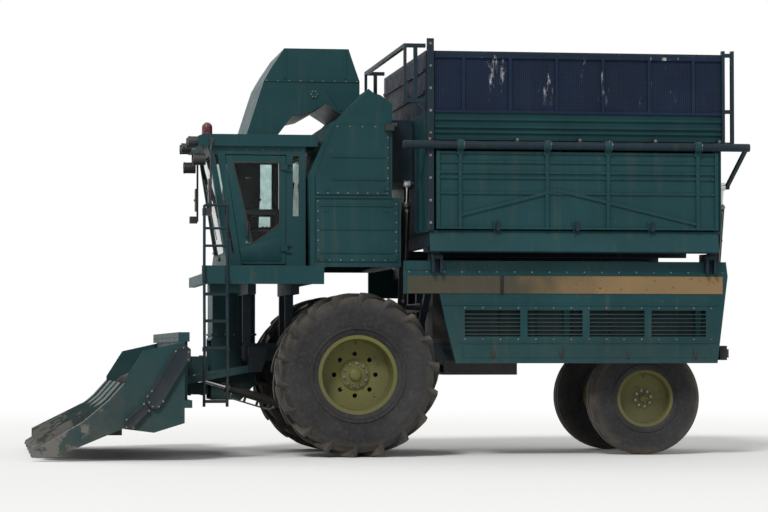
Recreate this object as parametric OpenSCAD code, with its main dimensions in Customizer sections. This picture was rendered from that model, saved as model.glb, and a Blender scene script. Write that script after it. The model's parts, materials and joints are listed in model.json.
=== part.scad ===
// Self-propelled cotton stripper harvester with field cleaner and tipping basket.
// Millimetres. Front of the machine points along -X, its left side along -Y, +Z is up.
// Places along the machine are counted from the front axle and moved by place().

/* [Overall] */
// Front axle to the tips of the row dividers
front_reach = 3560; // [3300:10:3900]
// Front axle to the rear end of the basket door bar
rear_reach = 4340; // [4200:10:4600]
// Front axle to rear axle
wheelbase = 3300; // [3150:10:3450]

/* [Wheels] */
// Drive tyre diameter over the lugs
front_tyre_d = 1800; // [1700:10:1860]
// Drive tyre width
front_tyre_w = 620; // [560:10:660]
// Drive rim diameter over its flange
front_rim_d = 870; // [800:10:920]
// Distance between drive tyre centres
front_track = 2300; // [2260:10:2400]
// Height of the tread lugs
lug_h = 42; // [30:1:55]
// Steered tyre diameter over the ribs
rear_tyre_d = 1260; // [1160:10:1300]
// Steered tyre width
rear_tyre_w = 360; // [320:10:380]
// Steered rim diameter over its flange
rear_rim_d = 640; // [580:10:680]
// Distance between steered tyre centres
rear_track = 1800; // [1760:10:1840]

/* [Frame] */
// Depth of the two main rails
rail_h = 200; // [160:10:240]
// Outer width over the two main rails
rail_out = 720; // [660:10:760]
// Underside of the main rails
rail_z = 1050; // [1030:10:1090]

/* [Cab] */
// Cab width over its side walls
cab_w = 1450; // [1350:10:1500]
// Left face of the cab from the middle of the machine
cab_left = 1000; // [950:10:1050]
// Underside of the cab shell
cab_z = 2000; // [1990:5:2040]
// Top of the cab walls under the roof
cab_top = 3420; // [3360:10:3460]
// Thickness of the cab roof cap
roof_h = 130; // [100:5:150]
// Thickness of the cab walls
cab_wall = 50; // [40:1:60]

/* [Duct and cleaner] */
// Width of the cotton duct
duct_w = 700; // [600:10:760]
// Top of the duct arch
duct_top = 4583; // [4520:1:4640]
// Width of the cleaner housing
cleaner_w = 2300; // [2200:10:2400]
// Underside of the cleaner housing
cleaner_z = 2090; // [2080:1:2120]

/* [Basket] */
// Basket width
basket_w = 3200; // [3100:10:3300]
// Front wall of the basket behind the front axle
basket_x0 = 720; // [700:5:760]
// Rear wall of the basket behind the front axle
basket_x1 = 4036; // [3980:4:4060]
// Underside of the basket
basket_z = 2242; // [2230:2:2280]
// Top of the basket screens
basket_top = 4446; // [4360:2:4500]
// Height of the door bar above the ground
bar_z = 3410; // [3380:2:3440]
// Thickness of the basket walls
skin = 20; // [16:1:26]

/* [Header] */
// Distance between two rows
row_pitch = 1016; // [960:2:1060]
// Number of rows
rows = 4; // [4:1:4]
// Diameter over the cross auger flights
auger_d = 540; // [480:10:560]
// Diameter over the bats of a stripper roll
roll_d = 150; // [130:2:156]
// Slope of the stripper rolls
roll_slope = 24; // [20:1:27]

/* [Hidden] */

// Everything is counted from the front axle; this centres the whole length.
ax = (front_reach - rear_reach) / 2;
front_axle_z = front_tyre_d / 2;
rear_axle_z = rear_tyre_d / 2;
rail_top = rail_z + rail_h;
rail_t = 80;
green = [0.11, 0.25, 0.27];
dark = [0.07, 0.12, 0.15];
rim_yellow = [0.60, 0.52, 0.22];
stripe_tan = [0.66, 0.56, 0.30];
steel = [0.45, 0.46, 0.47];
black = [0.06, 0.06, 0.07];

// Moves a form from front axle coordinates to the shared frame.
module place() {
  translate([ax, 0, 0]) children();
}

// Round bar between two points.
module rod(p, q, r) {
  v = q - p;
  translate(p) rotate([0, acos(v[2] / norm(v)), atan2(v[1], v[0])]) cylinder(h = norm(v), r = r);
}

// Square bar between two points.
module strut(p, q, w) {
  v = q - p;
  translate(p)
    rotate([0, acos(v[2] / norm(v)), atan2(v[1], v[0])])
      translate([-w / 2, -w / 2, 0]) cube([w, w, norm(v)]);
}

// Box from its low corner to its high corner.
module box(a, b) {
  translate(a) cube(b - a);
}

// Side profile in X and Z, made solid from y0 to y1.
module side(pts, y0, y1) {
  translate([0, y1, 0]) rotate([90, 0, 0]) linear_extrude(height = y1 - y0) polygon(pts);
}

// End profile in Y and Z, made solid from x0 to x1.
module ends(pts, x0, x1) {
  translate([x0, 0, 0]) rotate([90, 0, 90]) linear_extrude(height = x1 - x0) polygon(pts);
}

// Round pin along Y.
module pin_y(p, l, r) {
  translate(p) rotate([-90, 0, 0]) cylinder(h = l, r = r);
}

// Round pin along X.
module pin_x(p, l, r) {
  translate(p) rotate([0, 90, 0]) cylinder(h = l, r = r);
}

// Pins and hinge points, X counted from the front axle.
lift_x = -1040;
lift_z = rail_z - 75;
lift_eye = [-1650, 0, 850];
lift_base = [-700, 0, 560];
dump_y = -1500;
dump_z = basket_z - 42;
dump_eye = [0, -900, 3025];
dump_base = [0, -500, 1650];
dump_front_x = basket_x0 - 100;
dump_rear_x = basket_x1 + 194;
kingpin_y = rear_track / 2 - 200;
arm_x = 260;
beam_x0 = basket_x0 + 80;
beam_x1 = basket_x1 - 156;
cab_x1 = -530;
tow_x = basket_x1 + 200;
cab_y0 = -cab_left;
cab_y1 = cab_w - cab_left;
duct_y0 = cab_y1 + 60;
duct_y1 = duct_y0 + duct_w;

// Rails, cross members, header hinge plates, rear bumper and tow plate.
module chassis_frame() {
  color(dark) place() {
    for (s = [-1, 1])
      translate([0, s * (rail_out / 2 - rail_t / 2), 0])
        box([-1150, -rail_t / 2, rail_z], [basket_x1 + 60, rail_t / 2, rail_top]);
    for (x = [-1130, 380, 1500, 2500, basket_x1 - 60])
      box([x, -rail_out / 2 + rail_t, rail_z + 20], [x + 110, rail_out / 2 - rail_t, rail_top - 20]);
    // Header hinge plates and pins
    for (s = [-1, 1]) {
      for (d = [-62, 44])
        translate([0, s * 430 + d, 0]) side([[-1110, rail_z + 60], [-1110, lift_z - 50], [-970, lift_z - 50],
          [-900, rail_z + 60]], 0, 18);
      pin_y([lift_x, s * 430 - 70, lift_z], 140, 28);
      translate([0, s * 430 - 70, 0]) box([-1110, 0, rail_z + 60], [-900, 140, rail_top - 40]);
    }
    // Lift cylinder brackets under the front axle
    for (s = [-1, 1]) {
      for (d = [-66, 48])
        translate([0, s * 300 + d, 0]) side([[-760, rail_z], [-760, lift_base[2] - 40],
          [-640, lift_base[2] - 40], [-560, rail_z]], 0, 18);
      pin_y([lift_base[0], s * 300 - 74, lift_base[2]], 148, 22);
    }
    // Rear bumper bar and tow plate
    box([basket_x1 + 60, -1300, rail_z + 10], [basket_x1 + 140, 1300, rail_top - 30]);
    difference() {
      box([basket_x1 + 140, -90, rail_z + 40], [basket_x1 + 262, 90, rail_z + 70]);
      translate([tow_x, 0, rail_z + 30]) cylinder(h = 50, r = 16);
    }
  }
}

// Portals that stand on the rails, two under the cab and two that carry the basket.
module uprights() {
  color(dark) place() {
    // Uprights and deck beam under the cab
    for (x = [-1120, -640], s = [-1, 1])
      translate([x, s * (rail_out / 2 - 50), rail_top]) translate([-45, -45, 0]) cube([90, 90, cab_z - 210 - rail_top]);
    for (x = [-1165, -685])
      box([x, -cab_left + 40, cab_z - 210], [x + 90, duct_y0, cab_z - 40]);
    // Basket beams with posts and braces
    for (x = [beam_x0, beam_x1]) {
      box([x, -1450, cleaner_z - 70], [x + 120, 1450, basket_z - 102]);
      for (s = [-1, 1]) {
        box([x + 10, s * (rail_out / 2 - 50) - 45, rail_top], [x + 110, s * (rail_out / 2 - 50) + 45, cleaner_z - 70]);
        strut([x + 60, s * (rail_out / 2 - 10), rail_top + 200], [x + 60, s * 1150, cleaner_z - 60], 70);
        box([x, s * 1300 - 80, basket_z - 102], [x + 120, s * 1300 + 80, basket_z - 6]);
      }
      // Pivot plates and pin on the left end
      for (d = [0, 90])
        translate([x + d, 0, 0]) {
          pin_x([0, dump_y, dump_z], 30, 36);
          box([0, dump_y - 36, cleaner_z - 70], [30, dump_y + 36, dump_z]);
          box([0, dump_y, cleaner_z - 70], [30, -1440, basket_z - 102]);
        }
      pin_x([x - 4, dump_y, dump_z], 128, 28);
    }
    // Lower pins of the dump cylinders
    box([beam_x0 + 10, -620, dump_base[2] - 50], [beam_x0 + 110, 500, dump_base[2] + 50]);
    box([beam_x1 + 10, -620, dump_base[2] - 50], [beam_x1 + 110, 500, dump_base[2] + 50]);
    pin_x([dump_front_x - 60, dump_base[1], dump_base[2]], beam_x0 + 20 - dump_front_x + 60, 26);
    pin_x([beam_x1 + 100, dump_base[1], dump_base[2]], dump_rear_x + 60 - beam_x1 - 100, 26);
  }
}

// Driven front axle: beam, drive cases, hub ends.
module front_axle() {
  color(dark) place() {
    hub_in = front_track / 2 - 210;
    box([-110, -hub_in + 60, front_axle_z - 110], [110, hub_in - 60, front_axle_z + 110]);
    for (s = [-1, 1]) {
      translate([0, s * 320, 0]) box([-140, -50, front_axle_z], [140, 50, rail_z]);
      translate([0, s > 0 ? hub_in - 60 : -hub_in, front_axle_z]) rotate([-90, 0, 0]) cylinder(h = 60, r = 190);
      translate([0, s > 0 ? hub_in : -hub_in - 176, front_axle_z]) rotate([-90, 0, 0]) cylinder(h = 176, r = 90);
      // Bolted flange and brake case inside the wheel
      translate([0, s > 0 ? hub_in - 110 : -hub_in + 60, front_axle_z]) rotate([-90, 0, 0]) cylinder(h = 50, r = 150);
    }
    // Gearbox and drive shaft case between the rails
    box([-330, -230, front_axle_z - 150], [330, 230, front_axle_z + 160]);
    box([330, -130, front_axle_z - 60], [620, 130, front_axle_z + 130]);
    rod([620, 0, front_axle_z + 40], [1148, 0, front_axle_z + 60], 45);
    box([-200, -100, front_axle_z + 160], [160, 100, rail_top + 60]);
  }
}

// Swinging beam of the steered axle with its pivot and kingpins.
module rear_axle() {
  color(dark) place() translate([wheelbase, 0, 0]) {
    box([-70, -kingpin_y + 70, rear_axle_z - 70], [70, kingpin_y - 70, rear_axle_z + 70]);
    for (s = [-1, 1])
      translate([0, s * kingpin_y, 0]) {
        // Fork end around the kingpin
        for (z = [rear_axle_z - 130, rear_axle_z + 80])
          translate([0, 0, z]) {
            cylinder(h = 50, r = 62);
            translate([-60, s > 0 ? -140 : 0, 0]) cube([120, 140, 50]);
          }
        translate([-70, s > 0 ? -140 : 70, rear_axle_z - 130]) cube([140, 70, 260]);
        translate([0, 0, rear_axle_z - 140]) cylinder(h = 280, r = 24);
      }
    pin_x([-170, 0, rear_axle_z + 150], 340, 45);
    translate([-70, -110, rear_axle_z + 70]) cube([140, 220, 130]);
    for (x = [-150, 90])
      translate([x, 0, 0]) {
        box([0, -90, rear_axle_z + 100], [60, 90, rail_z]);
        box([0, -rail_out / 2, rail_z - 60], [60, rail_out / 2, rail_z]);
      }
  }
}

// Engine as one plain block with its exhaust.
module engine_block() {
  color(steel) place() {
    box([1000, -330, rail_top], [2150, 330, rail_top + 760]);
    box([1150, -200, rail_z - 160], [2000, 200, rail_z + 20]);
    for (x = [1010, 2030])
      box([x, -200, rail_z + 10], [x + 110, 200, rail_top + 10]);
    rod([1500, 320, rail_top + 560], [1500, 900, rail_top + 560], 50);
    rod([1500, 900, rail_top + 510], [1500, 900, rail_top + 810], 90);
    rod([1500, 960, rail_top + 680], [1500, 1370, rail_top + 680], 50);
  }
}

// Cooling pack behind the engine.
module radiator() {
  color(black) place() {
    box([2340, -520, rail_top], [2560, 520, rail_top + 760]);
    for (y = [-440:110:440])
      box([2560, y - 20, rail_top + 60], [2572, y + 20, rail_top + 700]);
    rod([2150, 0, rail_top + 380], [2340, 0, rail_top + 380], 60);
  }
}

// Fuel tank, oil tank and battery box hung from the rails.
module tanks() {
  color(dark) place() {
    box([1250, 500, 1080], [2230, 1320, 1560]);
    box([1250, -1000, 1080], [1750, -500, 1610]);
    box([1850, -1240, 1080], [2220, -560, 1370]);
    for (x = [1330, 1640, 1900, 2130], s = [-1, 1])
      translate([x, s > 0 ? rail_out / 2 : -rail_out / 2 - 200, 0])
        if (s > 0 || x != 1640)
          cube_at(rail_z + 50);
    for (p = [[1330, 1200, 1560], [1500, -900, 1610]])
      translate(p) cylinder(h = 50, r = 60);
  }
}

module cube_at(z) {
  translate([0, 0, z]) cube([60, 200, 60]);
}

// Lamps on the rear bumper bar.
module tail_lamps() {
  color([0.45, 0.06, 0.08]) place() for (y = [-1270, 1130])
    box([basket_x1 + 140, y, rail_z + 40], [basket_x1 + 162, y + 140, rail_z + 130]);
}

// Moves the corners of a flat outline a little toward its middle.
function mid(pts) = [for (k = [0, 1]) (pts[0][k] + pts[1][k] + pts[2][k] + pts[3][k]) / 4];
function inset(pts, g) = [for (p = pts) p + 1.4 * g * (mid(pts) - p) / norm(mid(pts) - p)];

// Cab outlines in X and Z.
cab_front_low = -1387;
cab_front_top = -1611;
cab_out = [[cab_front_low, cab_z], [cab_front_top, cab_top], [cab_x1, cab_top], [cab_x1, cab_z]];
cab_in = [[cab_front_low + cab_wall, cab_z + cab_wall], [cab_front_top + cab_wall, cab_top + 1],
  [cab_x1 - cab_wall, cab_top + 1], [cab_x1 - cab_wall, cab_z + cab_wall]];
door_hole = [[-1240, cab_z + 110], [-1425, cab_top - 90], [-745, cab_top - 90], [-745, cab_z + 110]];
door_out = inset(door_hole, 9);
door_pane = [[-1120, cab_z + 330], [-1345, cab_top - 170], [-810, cab_top - 170], [-810, cab_z + 560]];
corner_pane = [[-1345, cab_z + 230], [-1545, cab_top - 90], [-1505, cab_top - 90], [-1318, cab_z + 230]];
quarter_pane = [[-685, cab_z + 640], [-685, cab_top - 90], [-595, cab_top - 90], [-595, cab_z + 640]];
right_pane = [[-1240, cab_z + 330], [-1425, cab_top - 90], [-745, cab_top - 90], [-745, cab_z + 330]];
front_pane = [[cab_y0 + 70, cab_z + 230], [cab_y0 + 70, cab_top - 90], [cab_y1 - 70, cab_top - 90],
  [cab_y1 - 70, cab_z + 230]];
rear_pane = [[cab_y0 + 100, cab_z + 640], [cab_y0 + 100, cab_top - 90], [cab_y1 - 100, cab_top - 90],
  [cab_y1 - 100, cab_z + 640]];

// Slanted slab that follows the windscreen, d0 to d1 behind the front line.
module front_slab(d0, d1) {
  side([[cab_front_low + d0, cab_z], [cab_front_top + d0, cab_top], [cab_front_top + d1, cab_top],
    [cab_front_low + d1, cab_z]], cab_y0 - 1, cab_y1 + 1);
}

// The window outlines, shrunk by g, between depths t0 and t1 of the walls.
module windows(g, t0, t1) {
  for (p = [corner_pane, quarter_pane])
    side(inset(p, g), cab_y0 + t0, cab_y0 + t1);
  for (p = [corner_pane, quarter_pane, right_pane])
    side(inset(p, g), cab_y1 - t1, cab_y1 - t0);
  ends(inset(rear_pane, g), cab_x1 - t1, cab_x1 - t0);
  intersection() {
    front_slab(t0, t1);
    ends(inset(front_pane, g), cab_front_top - 60, cab_front_low + 160);
  }
}

// Door hinge axis at the rear edge of the door.
hinge_x = -738;
hinge_y = cab_y0 - 14;
hinge_z = [cab_z + 260, cab_top - 260];

// Cab walls and floor as one hollow shell with its openings.
module cab_shell() {
  color(green) place() {
    difference() {
      side(cab_out, cab_y0, cab_y1);
      side(cab_in, cab_y0 + cab_wall, cab_y1 - cab_wall);
      windows(0, -2, cab_wall + 2);
      side(door_hole, cab_y0 - 2, cab_y0 + cab_wall + 2);
    }
    for (z = hinge_z) {
      for (d = [-14, 60])
        box([hinge_x - 10, hinge_y - 12, z + d], [-690, cab_y0, z + d + 14]);
      translate([hinge_x, hinge_y, z - 14]) cylinder(h = 88, r = 8);
    }
  }
}

// Roof cap with its overhang and front visor.
module cab_roof() {
  color(green) place() difference() {
    side([[cab_front_top - 110, cab_top], [cab_front_top - 110, cab_top + roof_h - 20],
      [cab_front_top - 50, cab_top + roof_h], [cab_x1 + 130, cab_top + roof_h], [cab_x1 + 130, cab_top]],
      cab_y0 - 50, cab_y1 + 40);
    side([[cab_front_top + 60, cab_top - 1], [cab_front_top + 60, cab_top + 40], [cab_x1 - 60, cab_top + 40],
      [cab_x1 - 60, cab_top - 1]], cab_y0 + 60, cab_y1 - 60);
  }
}

module cab_glass() {
  color([0.6, 0.7, 0.75, 0.4]) place() windows(0.3, 20, 26);
}

// Door frame that fills the left opening, hinged at its rear edge.
module cab_door() {
  color(green) place() {
    difference() {
      side(door_out, cab_y0 + 2, cab_y0 + 42);
      side(door_pane, cab_y0, cab_y0 + 44);
    }
    box([-1190, cab_y0 - 30, cab_z + 420], [-1176, cab_y0 + 2, cab_z + 560]);
    // Hinge knuckles at the rear edge
    for (z = hinge_z)
      translate([hinge_x, hinge_y, z]) difference() {
        union() {
          translate([0, 0, 2]) cylinder(h = 56, r = 13);
          translate([-70, -6, 2]) cube([70, 18, 56]);
          translate([-70, -6, 2]) cube([58, 22, 56]);
        }
        cylinder(h = 60, r = 8.4);
      }
  }
}

module door_glass() {
  color([0.6, 0.7, 0.75, 0.4]) place() side(inset(door_pane, 0.3), cab_y0 + 18, cab_y0 + 24);
}

// Seat cushion and back cushion.
module seat() {
  color(black) place() translate([-970, (cab_y0 + cab_y1) / 2, cab_z + cab_wall]) {
    box([-230, -240, 360.3], [200, 240, 470]);
    side([[200.3, 400], [300, 400], [360, 1010], [270, 1020]], -230, 230);
  }
}

// Steering column and wheel, side console, pedestal and arm rests.
module cab_controls() {
  color(black) place() translate([-1230, (cab_y0 + cab_y1) / 2, cab_z + cab_wall]) {
    box([-104, -60, 0], [-36, 60, 8]);
    rod([-70, 0, 4], [-20, 0, 640], 34);
    translate([-20, 0, 640]) rotate([0, 11.5, 0]) {
      cylinder(h = 24, r = 50);
      difference() {
        cylinder(h = 28, r = 190);
        translate([0, 0, -1]) cylinder(h = 30, r = 162);
      }
      for (a = [0, 120, 240])
        rotate([0, 0, a]) translate([40, -14, 4]) cube([130, 28, 14]);
    }
    // Console with its lever, beside the driver
    box([120, 380, 0], [560, 600, 520]);
    rod([220, 460, 520], [190, 460, 680], 14);
    rod([190, 460, 670], [188, 460, 720], 26);
    // Seat pedestal, pan and back frame
    box([100, -160, 0], [420, 160, 330]);
    box([30, -240, 330], [460, 240, 360]);
    side([[560.4, 400], [580, 400], [640, 1010], [620.4, 1010]], -150, 150);
    side([[460, 330], [580, 330], [580, 400], [560.4, 400], [550, 360], [460, 360]], -150, 150);
    // Arm rests
    for (y = [-292, 252])
      box([70, y, 640], [450, y + 40, 680]);
    for (y = [-292, 252])
      box([410, y, 340], [450, y + 40, 640]);
    for (y = [-252, 240])
      box([410, y, 340], [450, y + 12, 360]);
  }
}

// Deck under the cab with its edge beams and the box below it.
module platform() {
  color(green) place() {
    box([-1710, -cab_left - 480, cab_z - 40], [-500, cab_y1 + 40, cab_z]);
    box([-1710, -cab_left - 480, cab_z - 110], [-380, -cab_left - 410, cab_z + 88]);
    box([-1710, -cab_left - 410, cab_z - 110], [-1640, cab_y1 + 40, cab_z - 40]);
    box([-570, -cab_left - 410, cab_z - 110], [-500, cab_y1 + 40, cab_z - 40]);
    box([-1615, -cab_left - 300, cab_z - 203], [-1290, -cab_left + 20, cab_z - 40]);
  }
}

// Ladder ahead of the left drive wheel, with its upper hand rails.
module ladder() {
  color(dark) place() translate([0, -cab_left - 500, 0]) {
    for (x = [-1690, -1440]) {
      rod([x, 0, cab_z - 60], [x, 0, cab_z + 740], 16);
      rod([x, 0, cab_z - 60], [x, -60, cab_z - 820], 16);
      rod([x, -60, cab_z - 820], [x, -10, 560], 16);
      translate([x, -4.4, cab_z - 84]) cylinder(h = 44, r = 24);
      translate([x, -60, cab_z - 844]) cylinder(h = 48, r = 24);
      box([x - 12, 0, cab_z - 62], [x + 12, 20, cab_z - 42]);
    }
    for (z = [300, 490, 740])
      rod([-1690, 0, cab_z + z], [-1440, 0, cab_z + z], 14);
    for (k = [0:4])
      box([-1690, -75 + k * 8, 600 + k * 290], [-1440, 25 + k * 4, 625 + k * 290]);
  }
}

module mirrors() {
  color(black) place() for (s = [-1, 1]) {
    y = s < 0 ? cab_y0 - 50 : cab_y1 + 40;
    box([-1600, s < 0 ? y - 20 : y, cab_top + 30], [-1550, s < 0 ? y : y + 20, cab_top + 90]);
    rod([-1575, y + s * 8, cab_top + 60], [-1600, y + s * 190, cab_top - 60], 12);
    rod([-1600, y + s * 190, cab_top - 50], [-1600, y + s * 190, cab_top - 760], 12);
    box([-1628, y + s * 190 - 70, cab_top - 640], [-1603, y + s * 190 + 70, cab_top - 380]);
    box([-1690, y + s * 190 - 50, cab_top - 780], [-1603, y + s * 190 + 50, cab_top - 700]);
  }
}

module beacon() {
  color([0.45, 0.06, 0.08]) place() translate([-1566, (cab_y0 + cab_y1) / 2, cab_top + roof_h]) {
    cylinder(h = 60, r = 26);
    translate([0, 0, 60]) cylinder(h = 70, r = 60);
    translate([0, 0, 130]) rotate_extrude() difference() {
      circle(r = 60);
      translate([-70, -70]) square([70, 140]);
      translate([0, -70]) square([70, 70]);
    }
  }
}

// Lamps along the front and rear edge of the roof and one on the cleaner.
module work_lamps() {
  color(black) place() {
    for (y = [cab_y0 + 60, cab_y0 + 330, cab_y1 - 340, cab_y1 - 70]) {
      translate([cab_front_top - 110, y, cab_top + 55]) rotate([0, -90, 0]) cylinder(h = 92, r = 54);
      translate([cab_x1 + 130, y, cab_top + 60]) rotate([0, 90, 0]) cylinder(h = 22, r = 40);
    }
    // Lamps under the front corners of the roof
    for (y = [cab_y0 - 10, cab_y1])
      translate([cab_front_top - 60, y, cab_top]) {
        box([-14, -14, -90], [14, 14, 0]);
        translate([30, 0, -150]) rotate([0, -90, 0]) cylinder(h = 120, r = 64);
      }
    // Lamps on the cleaner corners and on the deck edge
    for (y = [cleaner_y0 - 70, cleaner_y1 + 14]) {
      box([340, y, 3600], [440, y + 56, 3670]);
      translate([415, y + 28, 3660]) rotate([0, 90, 0]) cylinder(h = 46, r = 27);
    }
  }
}

// Outline of the whole cotton duct in X and Z, mouth at the low front.
duct_wall = 16;
hood_y0 = duct_y1 - 1560;
duct_line = [[-1450, 600], [-1100, 600], [-942, 780], [-942, 1800], [-885, 3000], [-885, 3440], [-775, 3595],
  [-612, 3811], [-410, 3857], [-230, 3960], [-53, 3846], [160, 4066], [160, 4218], [110, 4359],
  [34, duct_top], [-699, duct_top], [-840, 4370], [-927, 4218], [-992, 4020], [-1125, 3600],
  [-1258, 3116], [-1436, 1800], [-1436, 1320], [-1450, 1300]];

module duct_part(g, y0, y1, z0, z1) {
  intersection() {
    translate([0, y1 - g, 0]) rotate([90, 0, 0]) linear_extrude(height = y1 - y0 - 2 * g)
      offset(delta = -g) polygon(duct_line);
    box([-1500, y0, z0], [300, y1, z1]);
  }
}

// Duct that lifts the cotton beside the cab and bends back into the cleaner.
module intake_duct() {
  color(green) place() {
    difference() {
      union() {
        duct_part(0, duct_y0, duct_y1, 0, 3700);
        duct_part(0, hood_y0, duct_y1, 3600, 5000);
        // Flanges that stiffen the riser
        for (z = [1340, 2300, 2900])
          intersection() {
            box([-1480, duct_y0 - 14, z], [-800, duct_y1 + 14, z + 24]);
            translate([0, duct_y1 + 14, 0]) rotate([90, 0, 0]) linear_extrude(height = duct_w + 28)
              offset(delta = 14) polygon(duct_line);
          }
      }
      duct_part(duct_wall, duct_y0, duct_y1, 0, 3700);
      duct_part(duct_wall, hood_y0, duct_y1, 3600 + duct_wall, 5000);
      // Open mouth toward the header
      box([-1500, duct_y0 + duct_wall, 600 + duct_wall], [-1400, duct_y1 - duct_wall, 1300 - duct_wall]);
    }
    // Folded ribs, round cover and joint flange on both faces of the hood
    for (y = [hood_y0 - 10, duct_y1]) {
      pin_y([-361, y, 4066], 10, 46);
      side([[-228, 4127], [-200, 4141], [-42, 3893], [-72, 3876]], y, y + 10);
      side([[-925, 4205], [-917, 4225], [146, 4225], [146, 4205]], y, y + 10);
      side([[-700, 4240], [-700, 4560], [-676, 4560], [-676, 4240]], y, y + 10);
      side([[-20, 4240], [-20, 4560], [4, 4560], [4, 4240]], y, y + 10);
    }
  }
}

// Outline of the cleaner in X and Z.
cleaner_y1 = duct_y1;
cleaner_y0 = duct_y1 - cleaner_w;
cleaner_line = [[-486, cleaner_z], [-509, 3089], [-372, 3409], [-243, 3701], [-160, 3720], [-53, 3846],
  [160, 4066], [217, 4020], [293, 3998], [426, 3900], [426, 2860], [524, 2860], [524, cleaner_z]];

// Tall housing behind the cab where burrs are thrown out of the cotton.
module cleaner_housing() {
  color(green) place() difference() {
    union() {
      side(cleaner_line, cleaner_y0, cleaner_y1);
      for (s = [0, 1])
        translate([0, s ? cleaner_y1 : cleaner_y0 - 12, 0]) {
          box([-486, 0, 2850], [426, 12, 2872]);
          box([-486, 0, cleaner_z], [-440, 12, 3080]);
        }
    }
    translate([0, cleaner_y1 - 30, 0]) rotate([90, 0, 0]) linear_extrude(height = cleaner_w - 60)
      offset(delta = -30) polygon(cleaner_line);
    box([400, -700, 3080], [600, 700, 3720]);
    box([-300, cleaner_y0 + 40, cleaner_z - 5], [400, cleaner_y1 - 40, cleaner_z + 40]);
  }
}

// Flat door panels on both sides of the cleaner.
module cleaner_panels() {
  color(green) place() for (s = [-1, 1])
    translate([0, s > 0 ? cleaner_y1 : cleaner_y0 - 14, 0]) {
      side([[-420, cleaner_z + 60], [-430, 2830], [390, 2830], [490, 2800], [490, cleaner_z + 60]], 0, 14);
      side([[-430, 2890], [-430, 3080], [-320, 3400], [-200, 3660], [390, 3660], [390, 2890]], 0, 14);
      // Stiffening beads, latches and hinges
      translate([0, s > 0 ? 14 : -10, 0]) {
        for (z = [2240, 2500, 2760])
          box([-380, 0, z], [440, 10, z + 16]);
        for (z = [3050, 3300])
          box([-250, 0, z], [350, 10, z + 16]);
        for (x = [-330, 330], z = [2170, 2700, 2930])
          box([x, 0, z], [x + 44, 10, z + 44]);
      }
    }
}

// Short wide duct from the cleaner to the front wall of the basket.
module discharge_duct() {
  color(dark) place() difference() {
    box([426, -720, 3050], [basket_x0 - 8, 720, 3750]);
    box([420, -700, 3070], [basket_x0, 700, 3730]);
  }
}

// Shields along both sides under the basket.
shield_line = [[502, 1790], [502, 2150], [4130, 2150], [4150, 1990], [4030, 1026], [1080, 1026], [980, 1420],
  [900, 1790]];

module side_shields() {
  color(green) place() for (s = [-1, 1])
    translate([0, s > 0 ? 1400 : -1440, 0]) difference() {
      union() {
        difference() {
          side(shield_line, 0, 40);
          // Long grille openings with a post between each two
          for (x = grille_x)
            box([x, -2, 1320], [x + 620, 42, 1610]);
        }
        for (x = grille_x, k = [0:5])
          translate([x, s > 0 ? 10 : 6, 1340 + k * 44]) cube([620, 24, 12]);
        for (x = [1100, 2300, 3790])
          translate([x, s > 0 ? -60 : 40, 0]) box([0, 0, 1040], [60, 60, 2140]);
        translate([0, s > 0 ? -1040 : 60, 0]) for (x = [1105, 2305, 3795])
          box([x, 0, rail_top - 70], [x + 50, 1020, rail_top - 20]);
        // Raised top band and seam strips on the outer face
        translate([0, s > 0 ? 40 : -8, 0]) {
          box([520, 0, 2052], [4110, 8, 2140]);
          box([930, 0, 1662], [4040, 8, 1680]);
          box([2286, 0, 1060], [2302, 8, 1320]);
          box([1120, 0, 1250], [4030, 8, 1268]);
        }
      }
      // Notches in the top edge where the basket beams pass
      for (x = [beam_x0, beam_x1])
        box([x - 1, -12, cleaner_z - 71], [x + 121, 52, 2160]);
    }
}

// Front edges of the grille openings.
grille_x = [1180, 1880, 2580, 3280];

// Raised strip along both shields.
module side_stripes() {
  color(stripe_tan) place() for (y = [-1448, 1440])
    box([540, y, 1794], [4090, y + 8, 1987]);
}

// Wheel forms turn about Y; out is the side that faces away from the machine.
module turned(s) {
  rotate([-s * 90, 0, 0]) rotate_extrude() children();
}

// Drive tyre: body of revolution with slanted lugs on the tread.
module drive_tyre(s) {
  r = front_tyre_d / 2;
  w = front_tyre_w;
  b = front_rim_d / 2;
  e = w * 0.42;
  turned(s) polygon([[b - 22, 30.4 - e], [b + 0.4, 24.3 - e], [b + 0.4, 4 - e], [b + 40, -w * 0.46], [r - 190, -w * 0.5], [r - lug_h - 70, -w * 0.48],
    [r - lug_h - 18, -w * 0.40], [r - lug_h, -w * 0.2], [r - lug_h, w * 0.2], [r - lug_h - 18, w * 0.40],
    [r - lug_h - 70, w * 0.48], [r - 190, w * 0.5], [b + 40, w * 0.46], [b + 0.4, e - 4], [b + 0.4, e - 24.3],
    [b - 22, e - 30.4]]);
  n = 18;
  for (k = [0:n - 1], t = [-1, 1])
    rotate([0, k * 360 / n + (t > 0 ? 180 / n : 0), 0])
      intersection() {
        translate([0, 0, r - lug_h - 130]) rotate([0, 0, t * 42])
          translate([-27, t > 0 ? -10 : -400, 0]) cube([54, 410, lug_h + 126]);
        rotate([90, 0, 0]) translate([0, 0, t > 0 ? -w / 2 : 8]) cylinder(h = w / 2 - 8, r = r);
      }
}

// Drive rim: barrel with flanges, dished disc and hub.
module drive_rim(s) {
  r = front_rim_d / 2;
  w = front_tyre_w * 0.42;
  difference() {
    turned(s) polygon([[0, 30], [95, 30], [160, 10], [160, -6], [r - 60, 14], [r - 40, w], [r, w],
      [r, w - 24], [r - 22.3, w - 30], [r - 22.3, 30 - w], [r, 24 - w], [r, -w], [r - 40, -w],
      [r - 44, -10], [160, -32], [150, -110], [90.5, -110], [90.5, -25], [0, -25]]);
    for (a = [0:45:359])
      rotate([0, a, 0]) translate([0, 0, 230]) rotate([90, 0, 0]) translate([0, 0, -60]) cylinder(h = 120, r = 26);
  }
}

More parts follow.
